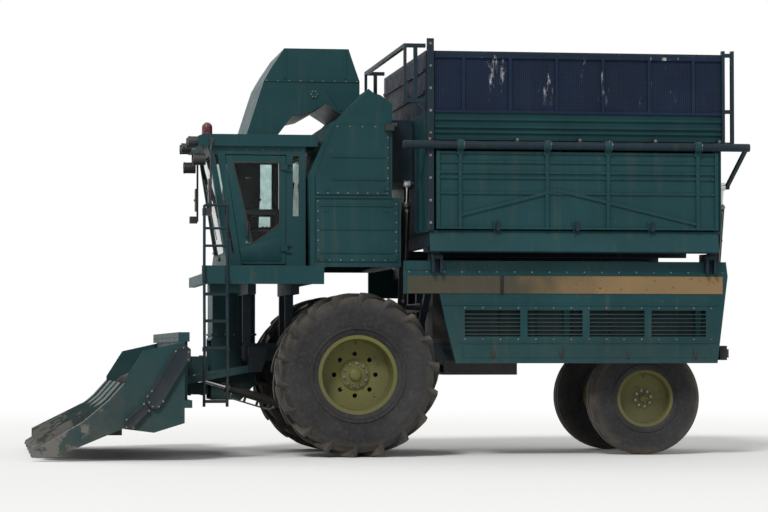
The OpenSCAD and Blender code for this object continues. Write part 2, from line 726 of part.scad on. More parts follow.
// Steered tyre with its circumferential ribs.
module steer_tyre(s) {
  r = rear_tyre_d / 2;
  w = rear_tyre_w;
  b = rear_rim_d / 2;
  e = w * 0.4;
  turned(s) polygon([[b - 18, 24.4 - e], [b + 0.4, 18.3 - e], [b + 0.4, 3 - e], [b + 30, -w * 0.46], [r - 110, -w * 0.5], [r - 40, -w * 0.44],
    [r - 4, -w * 0.32], [r - 4, -w * 0.22], [r - 24, -w * 0.2], [r - 24, -w * 0.1], [r, -w * 0.08],
    [r, w * 0.08], [r - 24, w * 0.1], [r - 24, w * 0.2], [r - 4, w * 0.22], [r - 4, w * 0.32],
    [r - 40, w * 0.44], [r - 110, w * 0.5], [b + 30, w * 0.46], [b + 0.4, e - 3], [b + 0.4, e - 18.3],
    [b - 18, e - 24.4]]);
}

module steer_rim(s) {
  r = rear_rim_d / 2;
  w = rear_tyre_w * 0.4;
  turned(s) polygon([[0, 30], [70, 30], [110, 10], [r - 50, 20], [r - 34, w], [r, w], [r, w - 18],
    [r - 18.3, w - 24], [r - 18.3, 24 - w], [r, 18 - w], [r, -w], [r - 34, -w], [r - 38, 0],
    [110, -14], [105, -80], [50.5, -80], [50.5, -20], [0, -20]]);
}

module front_at(s) {
  place() translate([0, s * front_track / 2, front_axle_z]) children();
}

module rear_at(s) {
  place() translate([wheelbase, s * rear_track / 2, rear_axle_z]) children();
}

// Knuckle: kingpin sleeve, stub axle and steering arm.
module knuckle(s) {
  color(dark) place() translate([wheelbase, s * kingpin_y, rear_axle_z]) {
    difference() {
      union() {
        translate([0, 0, -75]) cylinder(h = 150, r = 55);
        rotate([s > 0 ? -90 : 90, 0, 0]) cylinder(h = 176, r = 50);
        box([0, -22, -40], [arm_x, 22, 0]);
      }
      translate([0, 0, -80]) cylinder(h = 160, r = 24.5);
      translate([arm_x, 0, -45]) cylinder(h = 50, r = 16.5);
    }
    translate([arm_x, 0, -45]) difference() {
      cylinder(h = 45, r = 36);
      translate([0, 0, -1]) cylinder(h = 47, r = 16.5);
    }
  }
}

// Bar that joins the two steering arms.
module tie_rod() {
  color(steel) place() translate([wheelbase + arm_x, 0, rear_axle_z]) {
    for (s = [-1, 1])
      translate([0, s * kingpin_y, 0]) {
        translate([0, 0, -88]) cylinder(h = 90, r = 16);
        translate([0, 0, -92]) cylinder(h = 42, r = 32);
      }
    rod([0, -kingpin_y, -71], [0, kingpin_y, -71], 20);
  }
}

// Header, X counted from the front axle.
head_half = rows / 2 * row_pitch + 150;
auger_x = -2270;
auger_z = 640;
trough_r = auger_d / 2 + 30;
back_x = auger_x + trough_r - 6;
spout_y0 = duct_y0 + 24 + duct_wall;
spout_y1 = duct_y1 - 24 - duct_wall;
roll_len = 860;
roll_x = -3420;
roll_z = 150;
roll_gap = roll_d / 2 + 7;
unit_half = 200;
unit_rear = -2580;
auger_mid = (spout_y0 + spout_y1) / 2;
function row_y(k) = (k - (rows - 1) / 2) * row_pitch;

// Trough, back wall, end plates, lift arms and the spout into the duct.
module header_frame() {
  color(green) place() {
    difference() {
      union() {
        translate([0, head_half, 0]) rotate([90, 0, 0]) linear_extrude(height = 2 * head_half) intersection() {
          difference() {
            translate([auger_x, auger_z]) circle(r = trough_r + 14);
            translate([auger_x, auger_z]) circle(r = trough_r);
          }
          polygon([[auger_x, auger_z], [auger_x - 400, auger_z - 382], [auger_x - 100, auger_z - 600],
            [auger_x + 500, auger_z - 600], [auger_x + 500, auger_z]]);
        }
        box([back_x, -head_half, auger_z - 80], [back_x + 30, head_half, 1260]);
        box([back_x - 40, -head_half, 1260], [back_x + 80, head_half, 1360]);
        box([back_x + 30, -head_half, 560], [back_x + 110, head_half, 640]);
        box([unit_rear, -head_half, auger_z - 300], [unit_rear + 90, head_half, auger_z - 215]);
        for (s = [-1, 1])
          translate([0, s > 0 ? head_half - 14 : -head_half, 0])
            side([[back_x + 30, 400], [back_x + 30, 1260], [auger_x - 120, 1160], [unit_rear, 860],
              [unit_rear, auger_z - 300], [auger_x, 300]], 0, 14);
        box([back_x + 20, spout_y0, 660], [-1480, spout_y1, 1100]);
        // Posts behind the back wall and ribs around the spout
        for (k = [-4:4])
          if (abs(k * 500 - auger_mid) > 420 && abs(abs(k * 500) - 430) > 80)
            box([back_x + 30, k * 500 - 20, auger_z], [back_x + 70, k * 500 + 20, 1260]);
        for (x = [-1880, -1700, -1540])
          box([x, spout_y0 - 12, 648], [x + 20, spout_y1 + 12, 1112]);
        for (s = [-1, 1]) {
          strut([back_x + 20, s * 430, 802], [lift_x, s * 430, lift_z], 80);
          pin_y([lift_x, s * 430 - 40, lift_z], 80, 46);
          pin_y([lift_eye[0], s > 0 ? 240 : -400, lift_eye[2]], 160, 22);
        }
      }
      box([back_x - 2, spout_y0 + 12, 672], [-1470, spout_y1 - 12, 1088]);
      for (s = [-1, 1])
        pin_y([lift_x, s * 430 - 50, lift_z], 100, 28.5);
      // Auger shaft holes
      pin_y([auger_x, -head_half - 2, auger_z], 18, 30.5);
      pin_y([auger_x, head_half - 16, auger_z], 18, 30.5);
    }
  }
}

// Side plates of the row units with the bearings of the rolls.
module roll_place(k, s) {
  translate([roll_x, row_y(k) + s * roll_gap, roll_z]) rotate([0, -roll_slope, 0]) children();
}

module row_channels() {
  color(green) place() difference() {
    for (k = [0:rows - 1]) {
      for (s = [-1, 1]) {
        translate([0, row_y(k) + (s > 0 ? unit_half : -unit_half - 12), 0])
          side([[unit_rear, auger_z - 290], [unit_rear, auger_z + 60], [-3480, 250], [-3480, 70], [-3300, 70]], 0, 12);
        roll_place(k, s) {
          translate([-52, 0, 0]) rotate([0, 90, 0]) cylinder(h = 34, r = 34);
          translate([-52, s > 0 ? 0 : roll_gap - unit_half, -16]) cube([34, unit_half - roll_gap, 32]);
          translate([roll_len + 14, 0, 0]) rotate([0, 90, 0]) cylinder(h = 40, r = 34);
        }
      }
      box([unit_rear - 14, row_y(k) - unit_half, auger_z - 290], [unit_rear, row_y(k) + unit_half, auger_z - 20]);
      // Gear case below the rear bearings
      box([unit_rear - 150, row_y(k) - 150, auger_z - 380], [unit_rear, row_y(k) + 150, auger_z - 276]);
      box([unit_rear - 110, row_y(k) - unit_half, auger_z - 340], [unit_rear - 60, row_y(k) + unit_half, auger_z - 290]);
    }
    for (k = [0:rows - 1], s = [-1, 1])
      roll_place(k, s) translate([-60, 0, 0]) rotate([0, 90, 0]) cylinder(h = roll_len + 140, r = 15.5);
  }
}

// Closed drive cases on both ends of the header.
module drive_cases() {
  color(dark) place() for (y = [-head_half - 56, head_half]) {
    side([[auger_x - 70, auger_z - 40], [auger_x - 90, auger_z + 30], [auger_x - 40, auger_z + 90],
      [back_x - 60, 1190], [back_x + 30, 1230], [back_x + 90, 1180], [back_x + 90, 1090],
      [auger_x + 90, auger_z - 30], [auger_x + 40, auger_z - 90], [auger_x - 30, auger_z - 90]], y, y + 56);
    side([[unit_rear + 10, auger_z - 290], [unit_rear + 10, auger_z - 200], [auger_x - 100, auger_z - 20],
      [auger_x - 40, auger_z - 100], [unit_rear + 90, auger_z - 300]], y, y + 56);
  }
}

// Pointed dividers between the rows and at both ends.
module row_dividers() {
  color(green) place() for (k = [0:rows]) {
    y = (k - rows / 2) * row_pitch;
    e = k == 0 || k == rows;
    h = e ? 150 : row_pitch / 2 - unit_half - 12;
    intersection() {
      side([[-front_reach, 60], [-front_reach + 14, 100], [-3000, 420], [-2740, 640], [unit_rear, 820],
        [unit_rear, auger_z - 290], [-3300, 50], [-front_reach + 20, 40]], y - h, y + h);
      translate([0, y, 0]) linear_extrude(height = 1000) polygon([[-front_reach, -18], [-3380, -h * 0.36],
        [-3000, -h * 0.8], [-2740, -h], [unit_rear, -h], [unit_rear, h], [-2740, h], [-3000, h * 0.8],
        [-3380, h * 0.36], [-front_reach, 18]]);
    }
  }
}

// Cross auger that brings the cotton to the spout.
module flight(len, turns) {
  linear_extrude(height = len, twist = 360 * turns, slices = round(abs(turns) * 16), segments = 1)
    translate([101.8, -5]) square([auger_d / 2 - 101.8, 10]);
}

module cross_auger() {
  color(steel) place() translate([auger_x, 0, auger_z]) {
    pin_y([0, -head_half + 30, 0], 2 * head_half - 60, 100);
    pin_y([0, -head_half + 1, 0], 31, 30);
    pin_y([0, head_half - 32, 0], 31, 30);
    translate([0, -head_half + 60, 0]) rotate([-90, 0, 0]) flight(auger_mid - 120 + head_half - 60, 6);
    translate([0, head_half - 60, 0]) rotate([90, 0, 0]) flight(head_half - 60 - auger_mid - 120, 2.5);
  }
}

// One stripper roll: core with six bats.
module roll(n) {
  k = floor((n - 1) / 2);
  s = n % 2 == 1 ? -1 : 1;
  color(black) place() roll_place(k, s) {
    translate([0, 0, 0]) rotate([0, 90, 0]) cylinder(h = roll_len, r = 42);
    translate([-50, 0, 0]) rotate([0, 90, 0]) cylinder(h = roll_len + 110, r = 15);
    for (a = [0:60:359])
      rotate([a, 0, 0]) translate([0, a % 120 == 0 ? -13 : -5, 38])
        cube([roll_len, a % 120 == 0 ? 26 : 10, roll_d / 2 - 38.5]);
  }
}

// Cylinder bodies and rods lie on the line from the base pin to the eye pin.
module along(p, q) {
  v = q - p;
  translate(p) rotate([0, acos(v[2] / norm(v)), atan2(v[1], v[0])]) children();
}

lift_len = norm(lift_eye - lift_base);
module lift_barrels() {
  color(black) place() for (s = [-1, 1])
    translate([0, s * 300, 0]) difference() {
      union() {
        along(lift_base, lift_eye) cylinder(h = 640, r = 46);
        pin_y(lift_base - [0, 34, 0], 68, 46);
      }
      along(lift_base, lift_eye) translate([0, 0, 180]) cylinder(h = 500, r = 25.5);
      pin_y(lift_base - [0, 50, 0], 100, 22.5);
    }
}

module lift_rods() {
  color(steel) place() for (s = [-1, 1])
    translate([0, s * 300, 0]) difference() {
      union() {
        along(lift_base, lift_eye) translate([0, 0, 260]) cylinder(h = lift_len - 260, r = 25);
        pin_y(lift_eye - [0, 34, 0], 68, 42);
      }
      pin_y(lift_eye - [0, 40, 0], 80, 26);
    }
}

dump_len = norm(dump_eye - dump_base);
module dump_barrels() {
  color(black) place() for (x = [dump_front_x, dump_rear_x])
    translate([x, 0, 0]) difference() {
      union() {
        along(dump_base, dump_eye) cylinder(h = 1180, r = 50);
        pin_x(dump_base - [34, 0, 0], 68, 50);
      }
      along(dump_base, dump_eye) translate([0, 0, 340]) cylinder(h = 860, r = 28.5);
      pin_x(dump_base - [55, 0, 0], 110, 26.5);
    }
}

module dump_rods() {
  color(steel) place() for (x = [dump_front_x, dump_rear_x])
    translate([x, 0, 0]) difference() {
      union() {
        along(dump_base, dump_eye) translate([0, 0, 400]) cylinder(h = dump_len - 400, r = 28);
        pin_x(dump_eye - [34, 0, 0], 68, 46);
      }
      // Grooves around the pin ends in the eye
      for (d = [-35, 29])
        difference() {
          pin_x(dump_eye + [d, 0, 0], 6, 28);
          pin_x(dump_eye + [d - 1, 0, 0], 8, 24);
        }
    }
}

// Basket, tips to the left about the pins at dump_y and dump_z.
bh = basket_w / 2;
floor_z = basket_z + 218;
wall_top = bar_z + 60;
bar_y = -bh - 68;
knuckle_x = [1094, 2060, 2744, 3758];
screen_x = [1120, 1640, 2160, 2680, 3200, 3700];
screen_mid = (wall_top + basket_top) / 2;
screen_high = (screen_mid + basket_top) / 2;

module basket_frame() {
  color(dark) place() {
    difference() {
      union() {
        // Sills and joists
        for (y = [-1500, -40, 1320])
          box([basket_x0, y, basket_z], [basket_x1, y + 80, basket_z + 60]);
        for (x = [basket_x0 + 20, 1400, 2060, 2700, 3340, basket_x1 - 100])
          box([x, -1560, basket_z + 60], [x + 80, bh, floor_z]);
        for (x = [beam_x0, beam_x1]) {
          pin_x([x + 34, dump_y, dump_z], 52, 38);
          box([x + 34, dump_y - 24, dump_z], [x + 86, dump_y + 70, basket_z + 60]);
        }
      }
      for (x = [beam_x0, beam_x1])
        pin_x([x + 30, dump_y, dump_z], 60, 28.5);
    }
    // Corner posts and top rails inside the walls
    for (x = [basket_x0 + skin, basket_x1 - skin - 60], y = [-bh + skin, bh - skin - 60])
      box([x, y, floor_z + skin], [x + 60, y + 60, basket_top - 40]);
    for (y = [-bh + skin, bh - skin - 60])
      box([basket_x0 + skin, y, basket_top - 100], [basket_x1 - skin, y + 60, basket_top - 40]);
    for (x = [basket_x0 + skin, basket_x1 - skin - 60])
      box([x, -bh + skin, basket_top - 100], [x + 60, bh - skin, basket_top - 40]);
    // Door bar with its supports and the masts on the left corners
    pin_x([464, bar_y, bar_z], rear_reach - 464, 45);
    for (x = [basket_x0 + 10, 1700, 2400, 3250, basket_x1 - 60])
      box([x, bar_y, bar_z + 20], [x + 50, -bh, bar_z + 80]);
    box([basket_x0 + 10, -bh - 50, floor_z + 20.3], [basket_x0 + 84, -bh, basket_top + 130]);
    box([basket_x1, -bh - 50, bar_z + 10], [basket_x1 + 34, -bh + 10, basket_top + 38]);
    box([basket_x1 + 104, -bh - 50, bar_z + 10], [basket_x1 + 138, -bh + 10, basket_top + 38]);
    for (z = [bar_z + 20, wall_top + 320, basket_top - 30])
      box([basket_x1, -bh - 50, z], [basket_x1 + 138, -bh + 10, z + 40]);
    // Open front extension
    for (y = [-bh, bh - 50]) {
      box([480, y, 4480], [basket_x0, y + 50, 4522]);
      box([480, y, 3876], [basket_x0, y + 50, 3918]);
      box([590, y, 3876], [630, y + 50, 4522]);
      box([480, y, 3876], [510, y + 50, 4522]);
      strut([500, y + 25, 4000], [basket_x0 - 14, y + 25, 3796], 36);
    }
    box([480, -bh, 4480], [520, bh, 4522]);
    // Pins and brackets for the dump cylinders
    for (x = [basket_x0 - 24, basket_x1])
      box([x, dump_eye[1] - 70, floor_z + skin], [x + 24, dump_eye[1] + 70, bar_z]);
    pin_x([dump_front_x + 39, dump_eye[1], dump_eye[2]], basket_x0 - dump_front_x - 49, 24);
    pin_x([basket_x1 + 10, dump_eye[1], dump_eye[2]], dump_rear_x - basket_x1 - 49, 24);
    pin_x([dump_rear_x + 40, dump_eye[1], dump_eye[2]], 46, 34);
    strut([rear_reach - 30, bar_y, bar_z], [dump_rear_x + 62, dump_eye[1], dump_eye[2]], 40);
  }
}

// Floor, chute lip and the solid lower walls.
module basket_floor() {
  color(green) place() {
    difference() {
      box([basket_x0, -bh, floor_z], [basket_x1, bh, wall_top]);
      box([basket_x0 + skin, -bh - 1, floor_z + skin], [basket_x1 - skin, bh - skin, wall_top + 1]);
      box([basket_x0 + skin, -bh + skin, floor_z + skin - 1], [basket_x0 + skin + 60, -bh + skin + 60, wall_top + 1]);
      box([basket_x0 - 1, -700, 3070], [basket_x0 + skin + 1, 700, 3730]);
    }
    ends([[-bh + 20, floor_z], [-bh, floor_z + 20], [-bh - 64, basket_z + 10], [-bh - 44, basket_z]],
      basket_x0 + 40, basket_x1 - 40);
    for (x = [1000:560:3900])
      ends([[-bh + 20, floor_z], [-bh - 44, basket_z], [-bh + 40, basket_z + 62], [-bh + 40, floor_z]], x, x + 12);
    // Ribs on the right, rear and front walls
    for (z = [floor_z + 140, floor_z + 430, floor_z + 720])
      box([basket_x0 + 20, bh, z], [basket_x1 - 20, bh + 26, z + 34]);
    for (x = [screen_x[0], screen_x[1], screen_x[2], screen_x[3], screen_x[4], screen_x[5]])
      box([x, bh, floor_z + 40], [x + 40, bh + 26, wall_top - 20]);
    for (z = [floor_z + 140, floor_z + 720])
      box([basket_x1, dump_eye[1] + 72, z], [basket_x1 + 24, bh, z + 34]);
    for (y = [-520, 0, 520, 1040])
      box([basket_x1, y - 20, floor_z + 20], [basket_x1 + 24, y + 20, wall_top - 20]);
    for (y = [-1300, 1250, 1500])
      box([basket_x0 - 20, y - 20, floor_z + 20], [basket_x0, y + 20, wall_top - 20]);
  }
}

// Upper walls of perforated sheet between stiffening ribs.
module basket_screens() {
  color(dark) place() {
    difference() {
      box([basket_x0, -bh, wall_top], [basket_x1, bh, basket_top - 40]);
      box([basket_x0 + skin, -bh + skin, wall_top - 1], [basket_x1 - skin, bh - skin, basket_top]);
      box([basket_x0 - 1, -700, 3070], [basket_x0 + skin + 1, 700, 3730]);
    }
    // Stiffening ribs on both long sides
    for (s = [-1, 1])
      translate([0, s > 0 ? bh : -bh - 24, 0]) {
        for (z = [wall_top + 76, wall_top + 134, wall_top + 218, wall_top + 300])
          box([basket_x0 + 96, 0, z], [basket_x1 - 2, 24, z + 26]);
        for (x = screen_x)
          box([x, 0, wall_top + 300], [x + 34, 24, basket_top - 60]);
        box([basket_x0 + 96, 0, basket_top - 76], [basket_x1 - 2, 24, basket_top - 42]);
      }
    // Ribs across the rear wall and the front wall
    for (z = [wall_top + 76, wall_top + 218, screen_mid, screen_high])
      box([basket_x1, -bh + 20, z], [basket_x1 + 22, bh, z + 34]);
    for (y = [-1040, -520, 0, 520, 1040])
      box([basket_x1, y - 20, wall_top + 252], [basket_x1 + 22, y + 20, screen_mid]);
    for (z = [screen_mid + 20, screen_high + 20])
      box([basket_x0 - 18, -bh + 60, z], [basket_x0, bh - 60, z + 34]);
  }
}

module basket_roof() {
  color(dark) place() {
    box([basket_x0, -bh, basket_top - 40], [basket_x1, bh, basket_top - 22]);
    // Frame and cross bars on top of the screen
    for (y = [-bh, -40, bh - 60])
      box([basket_x0, y, basket_top - 22], [basket_x1, y + 60, basket_top]);
    for (x = [basket_x0, 1500, 2240, 2990, basket_x1 - 50])
      for (y = [-bh + 60, 20])
        box([x, y, basket_top - 22], [x + 50, y + bh - 80, basket_top]);
  }
}

// Side door hinged on the bar, with ribs and truss braces.
door_x0 = basket_x0 + 110;
door_x1 = basket_x1 - 46;
door_low = floor_z + 34;
door_high = bar_z - 62;
module basket_door() {
  color(green) place() {
    difference() {
      union() {
        for (x = knuckle_x) {
          pin_x([x - 35, bar_y, bar_z], 70, 60);
          box([x - 35, -bh - 60, door_high - 40], [x + 35, -bh - 22, bar_z]);
        }
        box([door_x0, -bh - 30, door_low], [door_x1, -bh - 8, door_high]);
        for (x = [door_x0, 1075, 2041, 2725, 3739, door_x1 - 38])
          box([x, -bh - 58, door_low], [x + 38, -bh - 30, door_high]);
        for (z = [door_low, 2876, 3045, 3104, 3216, door_high - 30])
          box([door_x0, -bh - 48, z], [door_x1, -bh - 30, z + 24]);
        // Long flat braces that rise to the middle of the door
        for (q = [[1113, 2650], [3739, 2560]])
          intersection() {
            strut([q[0], -bh - 42, q[1]], [2180, -bh - 42, 2926], 34);
            box([door_x0, -bh - 52, door_low], [door_x1, -bh - 29, door_high]);
          }
        // Latch plates on the low edge
        for (x = [1500, 2383, 3232])
          box([x - 45, -bh - 44, door_low + 4], [x + 45, -bh - 28, door_low + 96]);
      }
      for (x = knuckle_x)
        pin_x([x - 40, bar_y, bar_z], 80, 45.5);
    }
  }
}

chassis_frame();
uprights();
front_axle();
rear_axle();
engine_block();
radiator();
tanks();
tail_lamps();
side_shields();
side_stripes();
platform();
ladder();
cab_shell();
cab_roof();
cab_glass();
seat();
cab_controls();
mirrors();
beacon();
work_lamps();
intake_duct();
cleaner_housing();
cleaner_panels();
discharge_duct();
cab_door();
door_glass();
color(black) front_at(-1) drive_tyre(-1);  // front_tyre_left
color(rim_yellow) front_at(-1) drive_rim(-1);  // front_rim_left
color(black) front_at(1) drive_tyre(1);  // front_tyre_right
color(rim_yellow) front_at(1) drive_rim(1);  // front_rim_right
color(black) rear_at(-1) steer_tyre(-1);  // rear_tyre_left
color(rim_yellow) rear_at(-1) steer_rim(-1);  // rear_rim_left
color(black) rear_at(1) steer_tyre(1);  // rear_tyre_right
color(rim_yellow) rear_at(1) steer_rim(1);  // rear_rim_right
knuckle(-1);  // knuckle_left
knuckle(1);  // knuckle_right
tie_rod();
header_frame();
row_channels();
row_dividers();
drive_cases();
cross_auger();
roll(1);  // roll_1
roll(2);  // roll_2
roll(3);  // roll_3
roll(4);  // roll_4
roll(5);  // roll_5
roll(6);  // roll_6
roll(7);  // roll_7
roll(8);  // roll_8
lift_barrels();
lift_rods();
basket_frame();
basket_floor();
basket_screens();
basket_roof();
basket_door();
dump_barrels();
dump_rods();
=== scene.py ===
import json
import math
import random
import bpy
import bmesh
from collections import namedtuple
from mathutils import Matrix, Vector


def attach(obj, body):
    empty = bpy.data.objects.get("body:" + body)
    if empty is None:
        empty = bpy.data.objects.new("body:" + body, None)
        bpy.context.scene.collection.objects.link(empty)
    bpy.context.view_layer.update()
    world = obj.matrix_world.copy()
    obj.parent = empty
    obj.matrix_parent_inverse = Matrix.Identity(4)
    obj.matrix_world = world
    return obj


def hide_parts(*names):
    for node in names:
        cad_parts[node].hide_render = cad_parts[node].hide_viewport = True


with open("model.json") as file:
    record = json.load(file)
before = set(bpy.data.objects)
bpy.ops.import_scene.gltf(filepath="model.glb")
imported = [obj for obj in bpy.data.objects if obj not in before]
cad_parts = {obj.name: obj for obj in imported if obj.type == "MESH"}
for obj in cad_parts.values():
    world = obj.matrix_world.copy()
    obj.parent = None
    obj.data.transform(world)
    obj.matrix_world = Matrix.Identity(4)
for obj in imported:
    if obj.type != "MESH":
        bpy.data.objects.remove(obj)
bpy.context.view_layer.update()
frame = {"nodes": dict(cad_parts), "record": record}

dice = random.Random(24)
nodes = frame["nodes"]

# The front axle's place along the frame, in metres, and the distance within which vertices are welded
FRONT_AXLE_X = -0.39
WELD = 0.00005
UP, LEFT, FORWARD, BACKWARD = (0, 0, 1), (0, -1, 0), (-1, 0, 0), (1, 0, 0)
SIDES = (("left", -1), ("right", 1))

# x, y and z of each wheel's middle, radius of its rim in metres, its nuts, hub cap, valve and tyre beads
Wheel = namedtuple("Wheel", "axle tyre x y z rim nut_circle nuts cap valve valve_out bead bead_out bead_height")
WHEELS = (Wheel("front", "drive", 0, 1150, 900, 0.435, 125, 10, 78, 352, 40, 512, 297, 14),
          Wheel("rear", "steer", 3300, 900, 630, 0.32, 88, 8, 56, 250, 30, 372, 171, 9))


# Places and edit-mode helpers. Their lengths are millimetres, and X counts from the front axle.

def at(x, y, z):
    return Vector((x / 1000 + FRONT_AXLE_X, y / 1000, z / 1000))


def leave():
    if bpy.context.mode != "OBJECT":
        bpy.ops.object.mode_set(mode="OBJECT")
    bpy.ops.object.select_all(action="DESELECT")


def only(piece):
    leave()
    piece.select_set(True)
    bpy.context.view_layer.objects.active = piece
    return piece


def named(name):
    """The object just added, with its place, turn and size in its mesh."""
    piece = bpy.context.object
    bpy.ops.object.transform_apply(location=True, rotation=True, scale=True)
    piece.name = name
    return piece


def block(name, low, high):
    leave()
    a, b = at(*low), at(*high)
    bpy.ops.mesh.primitive_cube_add(size=1, location=(a + b) / 2, scale=b - a)
    return named(name)


def drum(name, start, end, radius, sides):
    leave()
    a, b = at(*start), at(*end)
    bpy.ops.mesh.primitive_cylinder_add(
        vertices=sides, radius=radius / 1000, depth=(b - a).length,
        location=(a + b) / 2, rotation=(b - a).to_track_quat("Z", "Y").to_euler())
    return named(name)


def faces(piece, test):
    """Goes into edit mode with the faces chosen by their middle and normal."""
    only(piece)
    bpy.ops.object.mode_set(mode="EDIT")
    bpy.ops.mesh.select_mode(type="FACE")
    bpy.ops.mesh.select_all(action="DESELECT")
    work = bmesh.from_edit_mesh(piece.data)
    for f in work.faces:
        f.select_set(bool(test(f.calc_center_median(), f.normal)))
    bmesh.update_edit_mesh(piece.data)


def facing(direction):
    """A test for faces that look along the direction."""
    ahead = Vector(direction).normalized()
    return lambda middle, normal: normal.dot(ahead) > 0.9


def inset(thickness, depth=0.0):
    bpy.ops.mesh.inset(thickness=thickness / 1000, depth=depth / 1000)


def pull(direction, length):
    """Extrudes the selected faces along the direction."""
    step = Vector(direction).normalized() * length / 1000
    bpy.ops.mesh.extrude_region_move(TRANSFORM_OT_translate={"value": step})


def stepped(piece, way, *steps):
    """Draws in the face that looks that way, step by step of (inward, depth)."""
    faces(piece, facing(way))
    for inward, depth in steps:
        inset(inward, depth)
    leave()
    return piece


def modified(piece, kind, **settings):
    """Adds one modifier to the piece, sets it and applies it."""
    only(piece)
    change = piece.modifiers.new("change", kind)
    for key, value in settings.items():
        setattr(change, key, value)
    bpy.ops.object.modifier_apply(modifier="change")
    return piece


def rounded(piece, width, segments=2):
    return modified(piece, "BEVEL", width=width / 1000, segments=segments, limit_method="ANGLE")


def repeat(model, places):
    """Copies of one modelled form, each with its own mesh, joined into one piece."""
    name = model.name
    copies = []
    for place in places:
        copy = model.copy()
        copy.data = model.data.copy()
        copy.data.transform(place)
        bpy.context.collection.objects.link(copy)
        copies.append(copy)
    bpy.data.objects.remove(model)
    return joined(name, copies)


def joined(name, parts):
    leave()
    for part in parts:
        part.select_set(True)
    bpy.context.view_layer.objects.active = parts[0]
    if len(parts) > 1:
        bpy.ops.object.join()
    parts[0].name = name
    return parts[0]


def moved(x, y, z, normal, spin=0.0):
    """The transform that sets a form from the origin on a place, its Z axis along the normal."""
    turn = Vector(normal).to_track_quat("Z", "Y").to_matrix().to_4x4()
    return Matrix.Translation(at(x, y, z)) @ turn @ Matrix.Rotation(spin, 4, "Z")


def turned(middle, angle, axis):
    """A turn about an axis through a point in metres."""
    return Matrix.Translation(middle) @ Matrix.Rotation(angle, 4, axis) @ Matrix.Translation(-middle)


def fitted(piece, finish, body="chassis", smooth=35):
    """Shades the piece, gives it its finish and lets it ride on its body."""
    only(piece)
    bpy.ops.object.shade_smooth_by_angle(angle=math.radians(smooth))
    piece.data.materials.clear()
    piece.data.materials.append(finish)
    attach(piece, body)
    return piece


def outline(name, corners, filled=True):
    """A ring of vertices set on the given corners, with or without its face."""
    leave()
    fill = "NGON" if filled else "NOTHING"
    bpy.ops.mesh.primitive_circle_add(vertices=len(corners), fill_type=fill)
    piece = bpy.context.object
    for vertex, corner in zip(piece.data.vertices, corners):
        vertex.co = corner
    piece.name = name
    return piece


def put_right(piece):
    """Welds the seams and points all faces outwards."""
    faces(piece, lambda middle, normal: True)
    bpy.ops.mesh.remove_doubles(threshold=WELD)
    bpy.ops.mesh.normals_make_consistent(inside=False)
    leave()
    return piece


def lathe(name, profile, centre, axis, steps=32):
    """A closed profile of (radius, along) points spun about an axis."""
    piece = outline(name, [(r / 1000, 0, h / 1000) for r, h in profile], False)
    only(piece)
    bpy.ops.object.mode_set(mode="EDIT")
    bpy.ops.mesh.select_all(action="SELECT")
    bpy.ops.mesh.spin(steps=steps, angle=2 * math.pi, center=(0, 0, 0), axis=(0, 0, 1))
    leave()
    piece.data.transform(moved(*centre, normal=axis))
    return put_right(piece)


def plate(name, corners, thickness):
    """A flat plate with the given corners, as thick on both sides of them."""
    piece = outline(name, [at(*c) for c in corners])
    modified(piece, "SOLIDIFY", thickness=thickness / 1000, offset=0.0)
    return put_right(piece)


def seal(name, corners, width, thickness):
    """A strip that runs round inside the given corners, as a window seal does."""
    piece = outline(name, [at(*c) for c in corners])
    faces(piece, lambda middle, normal: True)
    inset(width)
    bpy.ops.mesh.delete(type="FACE")
    leave()
    modified(piece, "SOLIDIFY", thickness=thickness / 1000, offset=0.0)
    return rounded(put_right(piece), 2.0)


def pipe(name, points, radius, sides):
    """A bent tube: one end face pulled from point to point."""
    piece = drum(name, points[0], points[1], radius, sides)
    for before, here, after in zip(points, points[1:], points[2:]):
        a, b, c = at(*before), at(*here), at(*after)
        ahead = (b - a).normalized()
        faces(piece, lambda m, n: (m - b).length < radius / 2000 and n.dot(ahead) > 0.9)
        pull(c - b, (c - b).length * 1000)
        turn = (b - a).rotation_difference(c - b)
        work = bmesh.from_edit_mesh(piece.data)
        end = [v for v in work.verts if v.select]
        bmesh.ops.rotate(work, verts=end, cent=c, matrix=turn.to_matrix())
        bmesh.update_edit_mesh(piece.data)
    leave()
    return piece


# Finishes

DUST = (0.105, 0.088, 0.064, 1)
RUST = (0.085, 0.032, 0.014, 1)
LINT = (0.60, 0.60, 0.58, 1)


def finish(name, **plain):
    """A new material whose plain values sit on the shader's own sockets."""
    made = bpy.data.materials.new(name)
    made.use_nodes = True
    tree = made.node_tree
    shader = tree.nodes["Principled BSDF"]
    for socket, value in plain.items():
        shader.inputs[socket.replace("_", " ")].default_value = value
    return made, tree, shader


def put(tree, kind, inputs=(), **settings):
    """One node: inputs are (socket, constant or output of another node)."""
    new = tree.nodes.new("ShaderNode" + kind)
    for key, value in settings.items():
        setattr(new, key, value)
    for socket, value in inputs:
        if isinstance(value, bpy.types.NodeSocket):
            tree.links.new(value, new.inputs[socket])
        else:
            new.inputs[socket].default_value = value
    return new


def sums(tree, operation, *values):
    """One arithmetic node."""
    return put(tree, "Math", list(enumerate(values)), operation=operation).outputs[0]


def times(tree, a, b):
    return sums(tree, "MULTIPLY", a, b)


def axes_of(tree, kind="Object"):
    """X, Y and Z of the place on the piece or, with Normal, of the way its surface faces."""
    return put(tree, "SeparateXYZ", [(0, put(tree, "TexCoord").outputs[kind])]).outputs


def cloud(tree, size, scale=(1, 1, 1), detail=4.0, rough=0.55, move=(0, 0, 0)):
    """Noise whose patches are about 1/size metres wide."""
    spot = put(tree, "TexCoord").outputs["Object"]
    spot = put(tree, "Mapping", [("Vector", spot), ("Scale", scale), ("Location", move)]).outputs[0]
    look = [("Vector", spot), ("Scale", size), ("Detail", detail), ("Roughness", rough)]
    return put(tree, "TexNoise", look).outputs[0]


